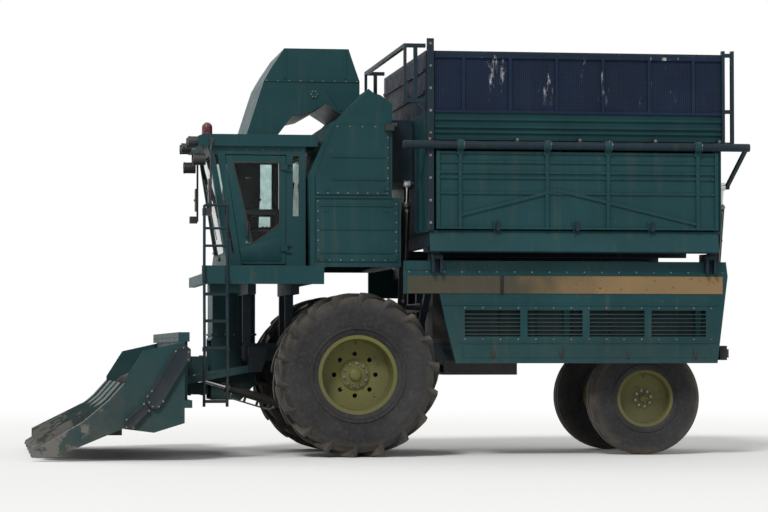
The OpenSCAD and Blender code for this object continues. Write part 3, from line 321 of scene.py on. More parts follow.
def between(tree, value, low, high, to_low=0.0, to_high=1.0):
    """Low to high becomes to_low to to_high, held at both ends."""
    return put(tree, "MapRange", [("Value", value), ("From Min", low), ("From Max", high),
                                  ("To Min", to_low), ("To Max", to_high)]).outputs[0]


def patches(tree, size, low, high, to_low=0.0, to_high=1.0, **look):
    """Noise that rises from to_low to to_high between two of its own heights."""
    return between(tree, cloud(tree, size, **look), low, high, to_low, to_high)


def blend(tree, share, under, over):
    mixed = put(tree, "Mix", [(0, share), (6, under), (7, over)], data_type="RGBA")
    return mixed.outputs[2]


def mottled(tree, size, low, high, under, over, **look):
    """One colour in patches over another."""
    return blend(tree, patches(tree, size, low, high, **look), (*under, 1), (*over, 1))


def relief(tree, shader, height, depth, after=None):
    """Bump of that depth in metres, on top of the bump before it."""
    bump = put(tree, "Bump", [("Height", height), ("Distance", depth), ("Strength", 1.0)])
    if after is not None:
        tree.links.new(after, bump.inputs["Normal"])
    tree.links.new(bump.outputs[0], shader.inputs["Normal"])
    return bump.outputs[0]


def coat(tree, shader, tone, roughness):
    tree.links.new(tone, shader.inputs["Base Color"])
    tree.links.new(roughness, shader.inputs["Roughness"])


def paint(name, colour, faded, dust, chips=0.69, fade=None):
    """Farm paint: faded patches, rain streaks, dust low down and on top, chips, shallow dents.

    fade is (start, end, colour, share, patch): toward end along the machine another colour shows.
    """
    made, tree, shader = finish(name, Coat_Weight=0.04, Coat_Roughness=0.35, Specular_IOR_Level=0.17)
    tone = mottled(tree, 0.9, 0.34, 0.68, colour, faded, detail=7)
    if fade:
        start, end, other, share, patch = fade
        ragged = sums(tree, "ADD", axes_of(tree)["X"], patches(tree, patch, 0.3, 0.7, -0.5, 0.5, detail=8))
        tone = blend(tree, between(tree, ragged, start, end, 0.0, share), tone, (*other, 1))
    streaks = patches(tree, 3.2, 0.56, 0.82, 0, 0.24, scale=(3.2, 3.2, 0.22), detail=5)
    tone = blend(tree, streaks, tone, DUST)
    height = sums(tree, "ADD", axes_of(tree)["Z"], patches(tree, 2.3, 0.3, 0.7, -0.35, 0.35))
    splash = patches(tree, 5.5, 0.35, 0.75, 0.25, 1, detail=8, rough=0.7)
    grime = times(tree, between(tree, height, 1.7, 0.1), splash)
    tone = blend(tree, times(tree, grime, dust), tone, DUST)
    flat = between(tree, axes_of(tree, "Normal")["Z"], 0.6, 0.95)
    lying = patches(tree, 2.6, 0.40, 0.64, 0.06, 0.52, detail=9, rough=0.72, move=(0.7, 2.9, 1.3))
    tone = blend(tree, times(tree, flat, lying), tone, DUST)
    flake = patches(tree, 21, chips, chips + 0.015, detail=5, rough=0.62, move=(3.1, 1.7, 0.4))
    tone = blend(tree, flake, tone, RUST)
    wear = patches(tree, 6, 0.3, 0.75, 0.44, 0.68, detail=6, rough=0.7)
    coat(tree, shader, tone, sums(tree, "ADD", wear, times(tree, grime, 0.3)))
    dents = relief(tree, shader, cloud(tree, 2.4, detail=2), 0.0072)
    skin = relief(tree, shader, cloud(tree, 260, detail=2), 0.00012, dents)
    relief(tree, shader, flake, -0.0003, skin)
    return made


def tyre_rubber(name, centre, rim):
    """Dusty rubber with earth on the tread and moulded rings beside the rim; places in metres."""
    made, tree, shader = finish(name, Specular_IOR_Level=0.3, Sheen_Weight=0.1, Sheen_Roughness=0.5)
    spot = put(tree, "TexCoord").outputs["Object"]
    spot = put(tree, "Mapping", [("Vector", spot), ("Location", (-centre.x, 0, -centre.z))]).outputs[0]
    spot = put(tree, "SeparateXYZ", [(0, spot)]).outputs
    squares = sums(tree, "ADD", times(tree, spot["X"], spot["X"]), times(tree, spot["Z"], spot["Z"]))
    out = sums(tree, "SQRT", squares)
    patch = cloud(tree, 6, detail=7, rough=0.68)
    earth = times(tree, between(tree, out, centre.z * 0.80, centre.z), between(tree, patch, 0.36, 0.62))
    tone = mottled(tree, 1.7, 0.35, 0.7, (0.012, 0.012, 0.014), (0.026, 0.026, 0.028), detail=6)
    tone = blend(tree, times(tree, earth, 0.75), tone, DUST)
    tone = blend(tree, times(tree, patches(tree, 26, 0.5, 0.72, detail=4), 0.22), tone, DUST)
    coat(tree, shader, tone, between(tree, patch, 0.3, 0.7, 0.62, 0.9))
    rings = sums(tree, "SINE", times(tree, out, 340.0))
    inner, outer = between(tree, out, rim + 0.02, rim + 0.05), between(tree, out, rim + 0.19, rim + 0.16)
    fine = relief(tree, shader, times(tree, rings, times(tree, inner, outer)), 0.0016)
    relief(tree, shader, cloud(tree, 150, detail=3), 0.0005, fine)
    return made


def metal(name, colour, dull, rough, rust, stretch=(1, 1, 1), metallic=1.0):
    """Bare worked metal with drawn lines, tarnish and a little rust."""
    made, tree, shader = finish(name, Metallic=metallic)
    tone = mottled(tree, 4, 0.35, 0.7, colour, dull, detail=6)
    tone = blend(tree, patches(tree, 11, rust, rust + 0.1, 0, 0.8, detail=6, rough=0.7), tone, RUST)
    lines = cloud(tree, 90, stretch, 3)
    coat(tree, shader, tone, between(tree, lines, 0.3, 0.7, *rough))
    relief(tree, shader, lines, 0.00025)
    return made


def plastic(name, colour, pale, rough, grain=220.0):
    """Moulded plastic or rubber: grain, paler worn patches, dust."""
    made, tree, shader = finish(name)
    tone = mottled(tree, 3, 0.4, 0.75, colour, pale, detail=6)
    tone = blend(tree, patches(tree, 14, 0.6, 0.85, 0, 0.35, detail=5), tone, DUST)
    coat(tree, shader, tone, patches(tree, 9, 0.3, 0.7, *rough))
    relief(tree, shader, cloud(tree, grain, detail=2), 0.0003)
    return made


def pane(name):
    """Clear tinted safety glass whose tint is dulled by a film of dust in patches."""
    made, tree, shader = finish(name, Transmission_Weight=1.0, IOR=1.2, Roughness=0.0)
    film = mottled(tree, 3.5, 0.38, 0.72, (0.66, 0.80, 0.79), (0.42, 0.46, 0.43), detail=8, rough=0.7)
    tree.links.new(film, shader.inputs["Base Color"])
    return made


def lens(name, colour, ribs):
    """A lamp's glass with ribs, that many in a metre, and a haze of dust."""
    made, tree, shader = finish(name, Coat_Weight=0.3, Coat_Roughness=0.08, IOR=1.5, Specular_IOR_Level=0.4)
    haze = cloud(tree, 18, detail=5)
    tone = blend(tree, between(tree, haze, 0.4, 0.8, 0, 0.5), (*colour, 1), DUST)
    coat(tree, shader, tone, between(tree, haze, 0.3, 0.7, 0.06, 0.22))
    relief(tree, shader, sums(tree, "SINE", times(tree, axes_of(tree)["Z"], ribs * 6.28)), 0.0006)
    return made


# Basket walls, in metres: pitch of the punched holes, face that the ribs stand on, foot of the punched sheet
HOLE_PITCH = 0.022
WALL_FACE_Y = 1.603
PUNCHED_FOOT = 3.770


def screen_sheet_with_painted_shade(name):
    """Punched sheet over a green foot: round holes on the flat walls, lint held in a few places. Painted shade:
    above the foot the sheet is dark blue for the dark inside seen through the mesh, the holes are near black,
    and the foot's greens are darkened like the other greens.
    """
    made, tree, shader = finish(name, Specular_IOR_Level=0.16)
    spot = axes_of(tree)
    ends = sums(tree, "GREATER_THAN", sums(tree, "ABSOLUTE", axes_of(tree, "Normal")["X"]), 0.5)
    along = put(tree, "Mix", [(0, ends), (2, spot["X"]), (3, spot["Y"])]).outputs[0]

    def off_centre(value):
        part = sums(tree, "FRACT", times(tree, value, 1 / HOLE_PITCH))
        off = sums(tree, "SUBTRACT", part, 0.5)
        return times(tree, off, off)

    punched_up = between(tree, spot["Z"], PUNCHED_FOOT - 0.002, PUNCHED_FOOT + 0.002)
    green_down = between(tree, spot["Z"], PUNCHED_FOOT + 0.002, PUNCHED_FOOT - 0.002)
    hole_with_painted_shade = between(tree, sums(tree, "ADD", off_centre(along), off_centre(spot["Z"])), 0.085, 0.07)
    hole_with_painted_shade = times(tree, hole_with_painted_shade, sums(tree, "LESS_THAN", sums(tree, "ABSOLUTE", spot["Y"]), WALL_FACE_Y))
    hole_with_painted_shade = times(tree, hole_with_painted_shade, punched_up)
    # Painted shade: dark blue for the shaded inside of the basket seen through the mesh.
    tone = mottled(tree, 1.1, 0.35, 0.7, (0.003, 0.010, 0.028), (0.0055, 0.017, 0.043), detail=6)
    streaks = patches(tree, 2.2, 0.55, 0.8, 0, 0.16, scale=(2.6, 2.6, 0.3), detail=6)
    tone = blend(tree, streaks, tone, (0.060, 0.062, 0.066, 1))
    # The foot's greens are darker and bluer than the paint: partly painted shade.
    foot = mottled(tree, 1.4, 0.34, 0.68, (0.0035, 0.028, 0.033), (0.0070, 0.042, 0.047), detail=7)
    tone = blend(tree, green_down, tone, foot)
    # Painted shade: the holes are near black for the dark inside behind them.
    tone = blend(tree, hole_with_painted_shade, tone, (0.002, 0.002, 0.003, 1))
    lint = patches(tree, 2.1, 0.60, 0.67, scale=(2.4, 2.4, 0.55), detail=9, rough=0.72, move=(7.3, 2.2, 5.1))
    lint = times(tree, lint, between(tree, spot["Z"], 3.85, 4.1))
    tone = blend(tree, times(tree, lint, 0.75), tone, LINT)
    coat(tree, shader, tone, patches(tree, 7, 0.3, 0.7, 0.5, 0.72))
    relief(tree, shader, hole_with_painted_shade, -0.002)
    return made


def cloth(name):
    """Woven seat cloth: warp and weft, worn pile, dust."""
    made, tree, shader = finish(name, Sheen_Weight=0.4, Sheen_Roughness=0.45, Specular_IOR_Level=0.2)
    spot = axes_of(tree)
    lines = [sums(tree, "SINE", times(tree, spot[axis], 1500.0)) for axis in "XYZ"]
    weave = sums(tree, "ADD", lines[0], times(tree, lines[1], lines[2]))
    tone = blend(tree, between(tree, weave, -1.4, 1.4), (0.012, 0.013, 0.016, 1), (0.034, 0.036, 0.042, 1))
    tone = blend(tree, patches(tree, 7, 0.45, 0.8, 0, 0.6, detail=6), tone, (0.080, 0.076, 0.066, 1))
    coat(tree, shader, tone, patches(tree, 12, 0.3, 0.7, 0.78, 0.95))
    relief(tree, shader, weave, 0.0005)
    return made


# Both greens are darker and bluer than the paint, half-way to how the side in shade looks: partly the paint's
# colour, partly painted shade.
GREEN_WITH_PAINTED_SHADE, FADED_GREEN_WITH_PAINTED_SHADE = (0.0035, 0.031, 0.036), (0.0075, 0.047, 0.052)
green_paint = paint("weathered_green_paint", GREEN_WITH_PAINTED_SHADE, FADED_GREEN_WITH_PAINTED_SHADE, dust=0.4)
dark_paint = paint("weathered_dark_paint", (0.004, 0.012, 0.019), (0.008, 0.021, 0.030), dust=0.4)
# The stripe's tan is dimmed so it stays as dark beside the green as on the side in shade: partly painted shade.
# Toward the front it turns dark grey-green.
stripe_paint = paint("faded_tan_paint_with_painted_shade", (0.235, 0.150, 0.067), (0.16, 0.112, 0.056), dust=0.3, chips=0.66,
                     fade=(2.5, 1.6, (0.026, 0.034, 0.026), 0.86, 1.6))
header_paint = paint("worn_header_paint", GREEN_WITH_PAINTED_SHADE, FADED_GREEN_WITH_PAINTED_SHADE, dust=0.6, chips=0.64,
                     fade=(-3.52, -3.70, (0.150, 0.146, 0.138), 0.8, 7.0))
# The rim's yellow is dimmed and greened toward its look in the plants' shadow: painted shade.
rim_paint = paint("shade_dimmed_yellow_rim_paint", (0.128, 0.128, 0.030), (0.092, 0.093, 0.032), dust=0.7,
                  chips=0.65)
black_paint = paint("satin_black_paint", (0.012, 0.012, 0.013), (0.022, 0.022, 0.022), dust=0.5)
casting = metal("oily_casting", (0.055, 0.056, 0.055), (0.026, 0.025, 0.023), (0.38, 0.66), rust=0.58,
                metallic=0.35)
bare_steel = metal("worn_bright_steel", (0.30, 0.30, 0.29), (0.13, 0.12, 0.105), (0.34, 0.58), rust=0.57,
                   stretch=(1, 6, 1))
hard_chrome = metal("cylinder_rod_chrome", (0.62, 0.62, 0.61), (0.45, 0.45, 0.44), (0.10, 0.22), rust=0.76)
zinc = metal("dull_zinc_bolts", (0.24, 0.235, 0.22), (0.12, 0.115, 0.10), (0.36, 0.6), rust=0.56)
mirror_face = metal("mirror_face", (0.72, 0.74, 0.75), (0.62, 0.64, 0.65), (0.02, 0.07), rust=0.9)
black_plastic = plastic("matt_black_plastic", (0.010, 0.010, 0.012), (0.022, 0.022, 0.024), (0.42, 0.62))
rubber_seal = plastic("window_rubber", (0.007, 0.007, 0.008), (0.015, 0.015, 0.015), (0.55, 0.75))
roll_rubber = plastic("worn_bat_rubber", (0.014, 0.014, 0.015), (0.035, 0.032, 0.028), (0.6, 0.85), 90)
glass = pane("tinted_cab_glass")
red_lens = lens("dark_red_lens", (0.085, 0.003, 0.008), 70)
clear_lens = lens("ribbed_lamp_glass", (0.62, 0.64, 0.62), 90)
seat_cloth = cloth("worn_seat_cloth")
screen_with_painted_shade = screen_sheet_with_painted_shade("punched_screen_with_painted_shade")

slot_finish = dict(
    dark_paint=dark_paint, green_paint=green_paint, stripe_paint=stripe_paint, rim_paint=rim_paint,
    black_paint=black_paint, engine_iron=casting, bare_steel=bare_steel, black_plastic=black_plastic,
    red_lens=red_lens, seat_cloth=seat_cloth, window_glass=glass, bat_rubber=roll_rubber)
# The slot that each added piece's finish belongs to
slot_of = {look.name: slot for slot, look in slot_finish.items()}
for look in (rubber_seal, clear_lens):
    slot_of[look.name] = "black_plastic"
for look in (zinc, mirror_face):
    slot_of[look.name] = "bare_steel"


def clothe(node, look):
    """Gives a solid from the frame its finish."""
    nodes[node].data.materials.clear()
    nodes[node].data.materials.append(look)


for part in frame["record"]["subparts"]:
    if part["material_slot"] in slot_finish:
        clothe(part["node"], slot_finish[part["material_slot"]])
for side, s in SIDES:
    for w in WHEELS:
        rubber = tyre_rubber(w.tyre + "_tyre_rubber_" + side, at(w.x, 0, w.z), w.rim)
        slot_of[rubber.name] = "tyre_rubber"
        clothe(w.axle + "_tyre_" + side, rubber)
clothe("basket_screens", screen_with_painted_shade)
for rods in ("lift_rods", "dump_rods"):
    clothe(rods, hard_chrome)
for row_part in ("row_dividers", "row_channels"):
    clothe(row_part, header_paint)


# Nuts, bolts and other small fasteners

def disc(name, sides, radius, height, edge):
    """A low cylinder at the origin, its top face drawn in by edge and still chosen."""
    leave()
    bpy.ops.mesh.primitive_cylinder_add(vertices=sides, radius=radius, depth=height / 1000,
                                        location=(0, 0, height / 2000))
    piece = named(name)
    faces(piece, facing(UP))
    inset(edge)
    return piece


def hex_head(name, across, height, washer):
    """A chamfered hex head, measured across its flats, standing on its washer at the origin."""
    head = disc(name, 6, across / 1732, height, across * 0.07)
    bpy.ops.transform.translate(value=(0, 0, height * 0.00018))
    leave()
    if washer:
        head = joined(name, [head, disc(name + "_washer", 12, across / 1440, washer, 1.2)])
    return head


def bolts(name, spots, across, height, washer, look=zinc, body="chassis"):
    """Bolt heads at spots of (x, y, z, outward direction), each turned its own way."""
    model = hex_head(name, across, height, washer)
    places = [moved(x, y, z, way, dice.uniform(0, 1)) for x, y, z, way in spots]
    return fitted(repeat(model, places), look, body)


def bolt_circle(centre, radius, count, way, start=0.0):
    """Spots round a circle on a face that looks along Y."""
    x, y, z = centre
    turns = [start + 2 * math.pi * k / count for k in range(count)]
    return [(x + radius * math.cos(a), y, z + radius * math.sin(a), way) for a in turns]


def line_of(start, end, count, way):
    """Spots evenly along a line, ends included."""
    a, b = Vector(start), Vector(end)
    return [(*a.lerp(b, k / (count - 1)), way) for k in range(count)]


def grease_cap(name, centre, way, radius, height):
    """A pressed hub cap with a rolled foot and a domed top."""
    rise = [(0, height), (radius * 0.34, height * 0.97), (radius * 0.62, height * 0.86),
            (radius * 0.8, height * 0.66), (radius * 0.86, height * 0.4), (radius * 0.87, 9),
            (radius * 0.93, 8), (radius, 5), (radius, 0.3), (0, 0.3)]
    return lathe(name, [(max(r, 0.02), h) for r, h in rise], centre, way, 36)


# Wheels

NUT_SEAT, HUB_FACE, STUD_LENGTH = 17, 30, 46
FIRST_NUT = 0.2


def beside(w, s, off, up=0):
    """A place off the wheel's middle on side s, and so far up."""
    return w.x, s * (w.y + off), w.z + up


for side, s in SIDES:
    out = (0, s, 0)
    for w in WHEELS:
        body, tag = w.axle + "_wheel_" + side, "_" + side
        spots = bolt_circle(beside(w, s, NUT_SEAT), w.nut_circle, w.nuts, out, FIRST_NUT)
        bolts(w.axle + "_wheel_nuts" + tag, spots, 30, 22, 4, zinc, body)
        stud = drum(w.axle + "_wheel_studs" + tag, beside(w, s, 0), beside(w, s, STUD_LENGTH), 7, 8)
        faces(stud, facing(out))
        inset(1.5)
        bpy.ops.transform.translate(value=(0, s * 0.0015, 0))
        leave()
        ring = bolt_circle((0, 0, 0), w.nut_circle / 1000, w.nuts, out, FIRST_NUT)
        fitted(repeat(stud, [Matrix.Translation(spot[:3]) for spot in ring]), bare_steel, body)
        fitted(grease_cap(w.axle + "_hub_cap" + tag, beside(w, s, HUB_FACE), out, w.cap, 46), rim_paint, body)
        spots = bolt_circle(beside(w, s, HUB_FACE + 7), w.cap * 0.93, 6, out)
        bolts(w.axle + "_hub_cap_bolts" + tag, spots, 9, 5, 0, zinc, body)
        bends = [beside(w, s, w.valve_out + off, w.valve + up) for off, up in ((0, 0), (26, 0), (46, -16))]
        valve = pipe(w.axle + "_valve" + tag, bends, 5.5, 10)
        fitted(rounded(valve, 1.0), black_plastic, body)
    # Clamp plates where the drive rim meets its disc
    model = block("front_rim_clamps_" + side, (-26, s * 1162 - 4, 1258), (26, s * 1162 + 10, 1276))
    spins = [turned(at(0, 0, 900), math.pi / 4 * k + 0.39, "Y") for k in range(8)]
    fitted(repeat(rounded(model, 3.0), spins), rim_paint, "front_wheel_" + side)


# Cab: window seals, wiper, door furniture, lamps, mirrors, beacon, a dark band under the roof's edge as painted
# shadow

DOOR_FACE_Y, LEFT_GLASS_Y, RIGHT_GLASS_Y = -995, -997, 447


def wall_seal(name, pane_xz, y, body="chassis", width=16):
    return fitted(seal(name, [(x, y, z) for x, z in pane_xz], width, 9), rubber_seal, body)


def upright(x, y0, z0, y1, z1):
    """Corners of a rectangle that looks along X."""
    return [(x, y0, z0), (x, y0, z1), (x, y1, z1), (x, y1, z0)]


door_pane = [(-1120, 2330), (-1345, 3250), (-810, 3250), (-810, 2560)]
right_pane = [(-1240, 2330), (-1425, 3330), (-745, 3330), (-745, 2330)]
quarter_pane = [(-685, 2640), (-685, 3330), (-595, 3330), (-595, 2640)]
corner_pane = [(-1345, 2230), (-1545, 3330), (-1505, 3330), (-1318, 2230)]
wall_seal("door_window_seal", door_pane, DOOR_FACE_Y, "cab_door")
wall_seal("right_window_seal", right_pane, RIGHT_GLASS_Y)
wall_seal("corner_window_seal_left", corner_pane, LEFT_GLASS_Y, width=7)
wall_seal("quarter_window_seal", quarter_pane, LEFT_GLASS_Y, width=12)
wall_seal("corner_window_seal_right", corner_pane, RIGHT_GLASS_Y, width=7)


def on_front(y, z, depth):
    """A place on the sloped front of the cab, or so far behind it."""
    return -1387 - 224 * (z - 2000) / 1420 + depth, y, z


front_corners = [on_front(y, z, 3) for y, z in ((-930, 2230), (-930, 3330), (380, 3330), (380, 2230))]
fitted(seal("front_window_seal", front_corners, 18, 9), rubber_seal)
fitted(seal("rear_window_seal", upright(-533, -900, 2640, 350, 3330), 16, 9), rubber_seal)

bends = [on_front(-260, 2200, -12), on_front(-262, 2300, -18), on_front(-150, 2760, -16)]
arm = pipe("wiper_arm", bends, 6, 8)
edge = [on_front(y, z, -8) for y, z in ((-360, 2420), (60, 3120), (76, 3110), (-344, 2410))]
blade = rounded(plate("wiper_blade", edge, 8), 1.5)
low, high = (on_front(0, 2190, -26)[0], -300, 2170), (on_front(0, 2190, 2)[0], -220, 2222)
for part in (arm, blade, rounded(block("wiper_cover", low, high), 5)):
    fitted(part, black_plastic)

bends = [(-1183, -1031, 2405), (-1183, -1046, 2430), (-1183, -1046, 2550), (-1183, -1031, 2575)]
fitted(rounded(pipe("door_grip", bends, 8, 12), 1.5), black_plastic, "cab_door")
lock = [(0.02, 0), (15, 0), (15, 5), (12, 8), (6, 8), (6, 5), (0.02, 5)]
fitted(lathe("door_lock", lock, (-1183, -999, 2360), LEFT, 20), zinc, "cab_door")
spots = [(x, -1008, z, LEFT) for z in (2350, 3070) for x in (-1185, -1155)]
bolts("door_hinge_bolts", spots, 12, 6, 1.5, zinc, "cab_door")
sheet = [(-1225, -1000, 2150), (-1260, -1000, 2290), (-800, -1000, 2420), (-800, -1000, 2150)]
fitted(rounded(plate("door_lower_panel", sheet, 5), 1.5), green_paint, "cab_door")


def lamp(centre, way, radius, depth=14):
    """A rim round the lamp and a bowed glass inside it."""
    rim = [(radius - 9, 0.3), (radius + 3, 0.3), (radius + 4, 5), (radius + 1, depth), (radius - 5, depth),
           (radius - 9, 6)]
    bowed = [(0.02, 0.6), (radius - 8, 0.6), (radius - 8, 6), (radius * 0.6, 9.5), (0.02, 11)]
    return lathe("rim", rim, centre, way, 28), lathe("glass", bowed, centre, way, 28)


ROOF_LAMPS_Y = (-940, -670, 110, 380)
lamps = [("front", [lamp((-1813, y, 3475), FORWARD, 54) for y in ROOF_LAMPS_Y]),
         ("corner", [lamp((-1761, y, 3270), FORWARD, 64, 18) for y in (-1010, 450)]),
         ("deck", [lamp((-378, y, 3480), BACKWARD, 40) for y in ROOF_LAMPS_Y]),
         ("cleaner", [lamp((461, y, 3660), BACKWARD, 27) for y in (-1132, 1252)])]
for tag, pairs in lamps:
    fitted(joined(tag + "_lamp_rims", [rim for rim, bowed in pairs]), black_plastic)
    fitted(joined(tag + "_lamp_glasses", [bowed for rim, bowed in pairs]), clear_lens)

for side, y in (("left", -1240), ("right", 680)):
    face = plate("mirror_glass_" + side, upright(-1601.5, y - 62, 2788, y + 62, 3032), 2.4)
    fitted(rounded(face, 0.8), mirror_face)
    edge = seal("mirror_edge_" + side, upright(-1603, y - 72, 2778, y + 72, 3042), 10, 8)
    fitted(edge, black_plastic)
    clamp = hex_head("mirror_clamp_" + side, 22, 12, 3)
    clamp.data.transform(moved(-1629, y, 2910, FORWARD))
    fitted(clamp, zinc)

BEACON = (-1566, -275, 3550)
foot = [(52, 0.3), (74, 0.3), (76, 6), (72, 18), (64, 24), (61, 24), (61, 4), (52, 4)]
fitted(lathe("beacon_foot", foot, BEACON, UP), black_plastic)
ridges = [(60.3, 40), (62.5, 43), (60.3, 46), (60.3, 62), (62.5, 65), (60.3, 68), (60.3, 84), (62.5, 87),
          (60.3, 90), (57, 90), (57, 40)]
fitted(lathe("beacon_rings", ridges, BEACON, UP), red_lens)
# A dark strip round the foot of the roof's edge, standing for the shadow under the roof: painted shadow.
eaves = [(-1716, -1045, 3436), (-406, -1045, 3436), (-406, 485, 3436), (-1716, 485, 3436)]
fitted(seal("roof_shadow_band", eaves, 8, 14), dark_paint)


# Seat: sewn cushions swelled from slightly smaller shapes

SEAM_ROUNDING = 0.024
KNIT, PRESSURE, STEPS = 0.006, 4.0, 20
MOST_SWELL = 0.008


def swell(piece):
    """Lets cloth pressure push the form out, by no more than MOST_SWELL."""
    modified(piece, "REMESH", mode="VOXEL", voxel_size=KNIT)
    start = [v.co.copy() for v in piece.data.vertices]
    puff = piece.modifiers.new("puff", "CLOTH")
    puff.settings.use_pressure = True
    puff.settings.uniform_pressure_force = PRESSURE
    puff.settings.effector_weights.gravity = 0.0
    for step in range(1, STEPS + 1):
        bpy.context.scene.frame_set(step)
    bpy.ops.object.modifier_apply(modifier="puff")
    bpy.context.scene.frame_set(1)
    for vertex, before in zip(piece.data.vertices, start):
        shift = vertex.co - before
        if shift.length > MOST_SWELL:
            vertex.co = before + shift * (MOST_SWELL / shift.length)


def cushion(name, low, high, tilt, creases):
    """A padded form in the space of its solid, creased along its seams.

    A crease is (axis, place on it, depth, reach), in metres.
    """
    piece = block(name, low, high)
    if tilt:
        piece.data.transform(tilt)
    only(piece)
    bpy.ops.object.mode_set(mode="EDIT")
    bpy.ops.mesh.select_all(action="SELECT")
    bpy.ops.mesh.bevel(offset=SEAM_ROUNDING, segments=4, affect="EDGES")
    leave()
    swell(piece)
    for axis, place, depth, reach in creases:
        for vertex in piece.data.vertices:
            near = abs(vertex.co[axis] - place) / reach
            if near < 1:
                vertex.co -= vertex.normal * depth * (1 - near) ** 2
    modified(piece, "SUBSURF", levels=1, render_levels=1)
    fitted(piece, seat_cloth, smooth=180)
    return piece


seams = [(1, -0.42, 0.006, 0.014), (1, -0.13, 0.006, 0.014)]
lean = turned(at(-735, -275, 2450), math.radians(5.6), "Y")
front_seam, shoulder_seam = (0, -1.50, 0.005, 0.012), (2, 2.86, 0.006, 0.014)
seat_cushion = cushion("seat_cushion", (-1190, -505, 2418), (-780, -45, 2512), None, seams + [front_seam])
seat_back = cushion("seat_back", (-758, -495, 2462), (-682, -55, 3056), lean, seams + [shoulder_seam])
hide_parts("seat")
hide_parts("seat")


# Arm pads, lever knob, steering wheel grip and console

for tag, y in (("left", -521), ("right", 15)):
    pad = block("arm_pad_" + tag, (-1165, y - 50, 2726), (-775, y + 2, 2748))
    fitted(rounded(pad, 9, 3), black_plastic)
bulb = [(0.02, 0), (20, 2), (30, 14), (33, 30), (30, 46), (18, 58), (0.02, 61)]
fitted(lathe("lever_knob", bulb, (-1042, 185, 2760), (-0.05, 0, 1), 24), black_plastic)
hoop = [(158, -6), (194, -6), (199, 4), (199, 26), (194, 34), (158, 34), (153, 26), (153, 4)]
column = math.radians(11.5)
grip = lathe("steering_grip", hoop, (-1250, -275, 2690), (math.sin(column), 0, math.cos(column)), 40)
fitted(grip, black_plastic)
face = [(-1105, 112, 2572), (-680, 112, 2572), (-680, 318, 2572), (-1105, 318, 2572)]
fitted(rounded(plate("console_panel", face, 5), 1.5), black_paint)
switch = rounded(block("console_switches", (-900, 140, 2574), (-876, 158, 2586)), 3)
grid = [Matrix.Translation((0.045 * i, 0.04 * k, 0)) for i in range(4) for k in range(3)]
fitted(repeat(switch, grid), black_plastic)


# Ladder treads

tread = block("ladder_treads", (-1686, -71, 626), (-1444, 25, 629))
faces(tread, facing(UP))
inset(4)
bpy.ops.mesh.subdivide(number_cuts=3)
leave()
faces(tread, facing(UP))
bpy.ops.mesh.inset(thickness=0.004, depth=0.004, use_individual=True)
leave()
climb = [Matrix.Translation((0, -1.5 + 0.006 * k, 0.29 * k)) for k in range(5)]
fitted(repeat(tread, climb), dark_paint)


# Shields: latches, bolts, rivets, hems round their doors, black trays behind the grilles as painted shade in
# the bay, clips on the stripes

SHIELD_Y, BAY_TRAY_Y, CLIP_Y = 1440, 1331, 1452


def raised(name, low, high, way, edge, rise, rounding):
    """A block whose outer face is drawn in by edge and pulled out by rise."""
    piece = block(name, low, high)
    faces(piece, facing(way))
    inset(edge)
    pull(way, rise)
    leave()
    return rounded(piece, rounding)


latches = []
for s in (-1, 1):
    for x in (700, 1480, 2240, 3000, 3760):
        low, high = (x, s * 1449 - 1, 1080), (x + 34, s * 1449 + 1, 1170)
        latches.append(raised("catch", low, high, (0, s, 0), 5, 9, 1.5))
fitted(joined("shield_latches", latches), rubber_seal)
rows = []
for s in (-1, 1):
    for x0, x1, z, count in ((560, 4090, 2030, 19), (1180, 3960, 1290, 15), (1180, 3960, 1636, 15)):
        rows += line_of((x0, s * SHIELD_Y, z), (x1, s * SHIELD_Y, z), count, (0, s, 0))
bolts("shield_bolts", rows, 13, 5, 1.6)
spots = [(x, s * 1448, z, (0, s, 0)) for s in (-1, 1)
         for x in range(570, 4090, 220) for z in (1806, 1975)]
bolts("stripe_rivets", spots, 8, 3, 0)
hems = []
for s in (-1, 1):
    y = s * (SHIELD_Y + 1)
    for x0, x1 in ((1150, 2278), (2310, 3960)):
        hems.append(seal("hem", [(x0, y, 1086), (x1, y, 1086), (x1, y, 1244), (x0, y, 1244)], 12, 6))
fitted(joined("shield_hems", hems), green_paint)
# Black trays set back in the bay under the stripe; where the bay is open they stand for the shade inside it:
# painted shade.
trays = []
for s in (-1, 1):
    for x in range(1176, 3700, 412):
        tray = block("tray", (x, s * BAY_TRAY_Y - 5, 1300), (x + 404, s * BAY_TRAY_Y + 5, 1638))
        trays.append(rounded(stepped(tray, (0, s, 0), (14, 0), (8, -6)), 1.5))
fitted(joined("bay_shade_trays", trays), black_paint)
clips = [raised("clip", (1574, s * CLIP_Y - 4, 1786), (1612, s * CLIP_Y + 4, 1996), (0, s, 0), 7, 5, 2)
         for s in (-1, 1)]
fitted(joined("stripe_clips", clips), black_paint)


# Bolts of the duct's flanges, the cleaner's panels and hood, and the cab's walls

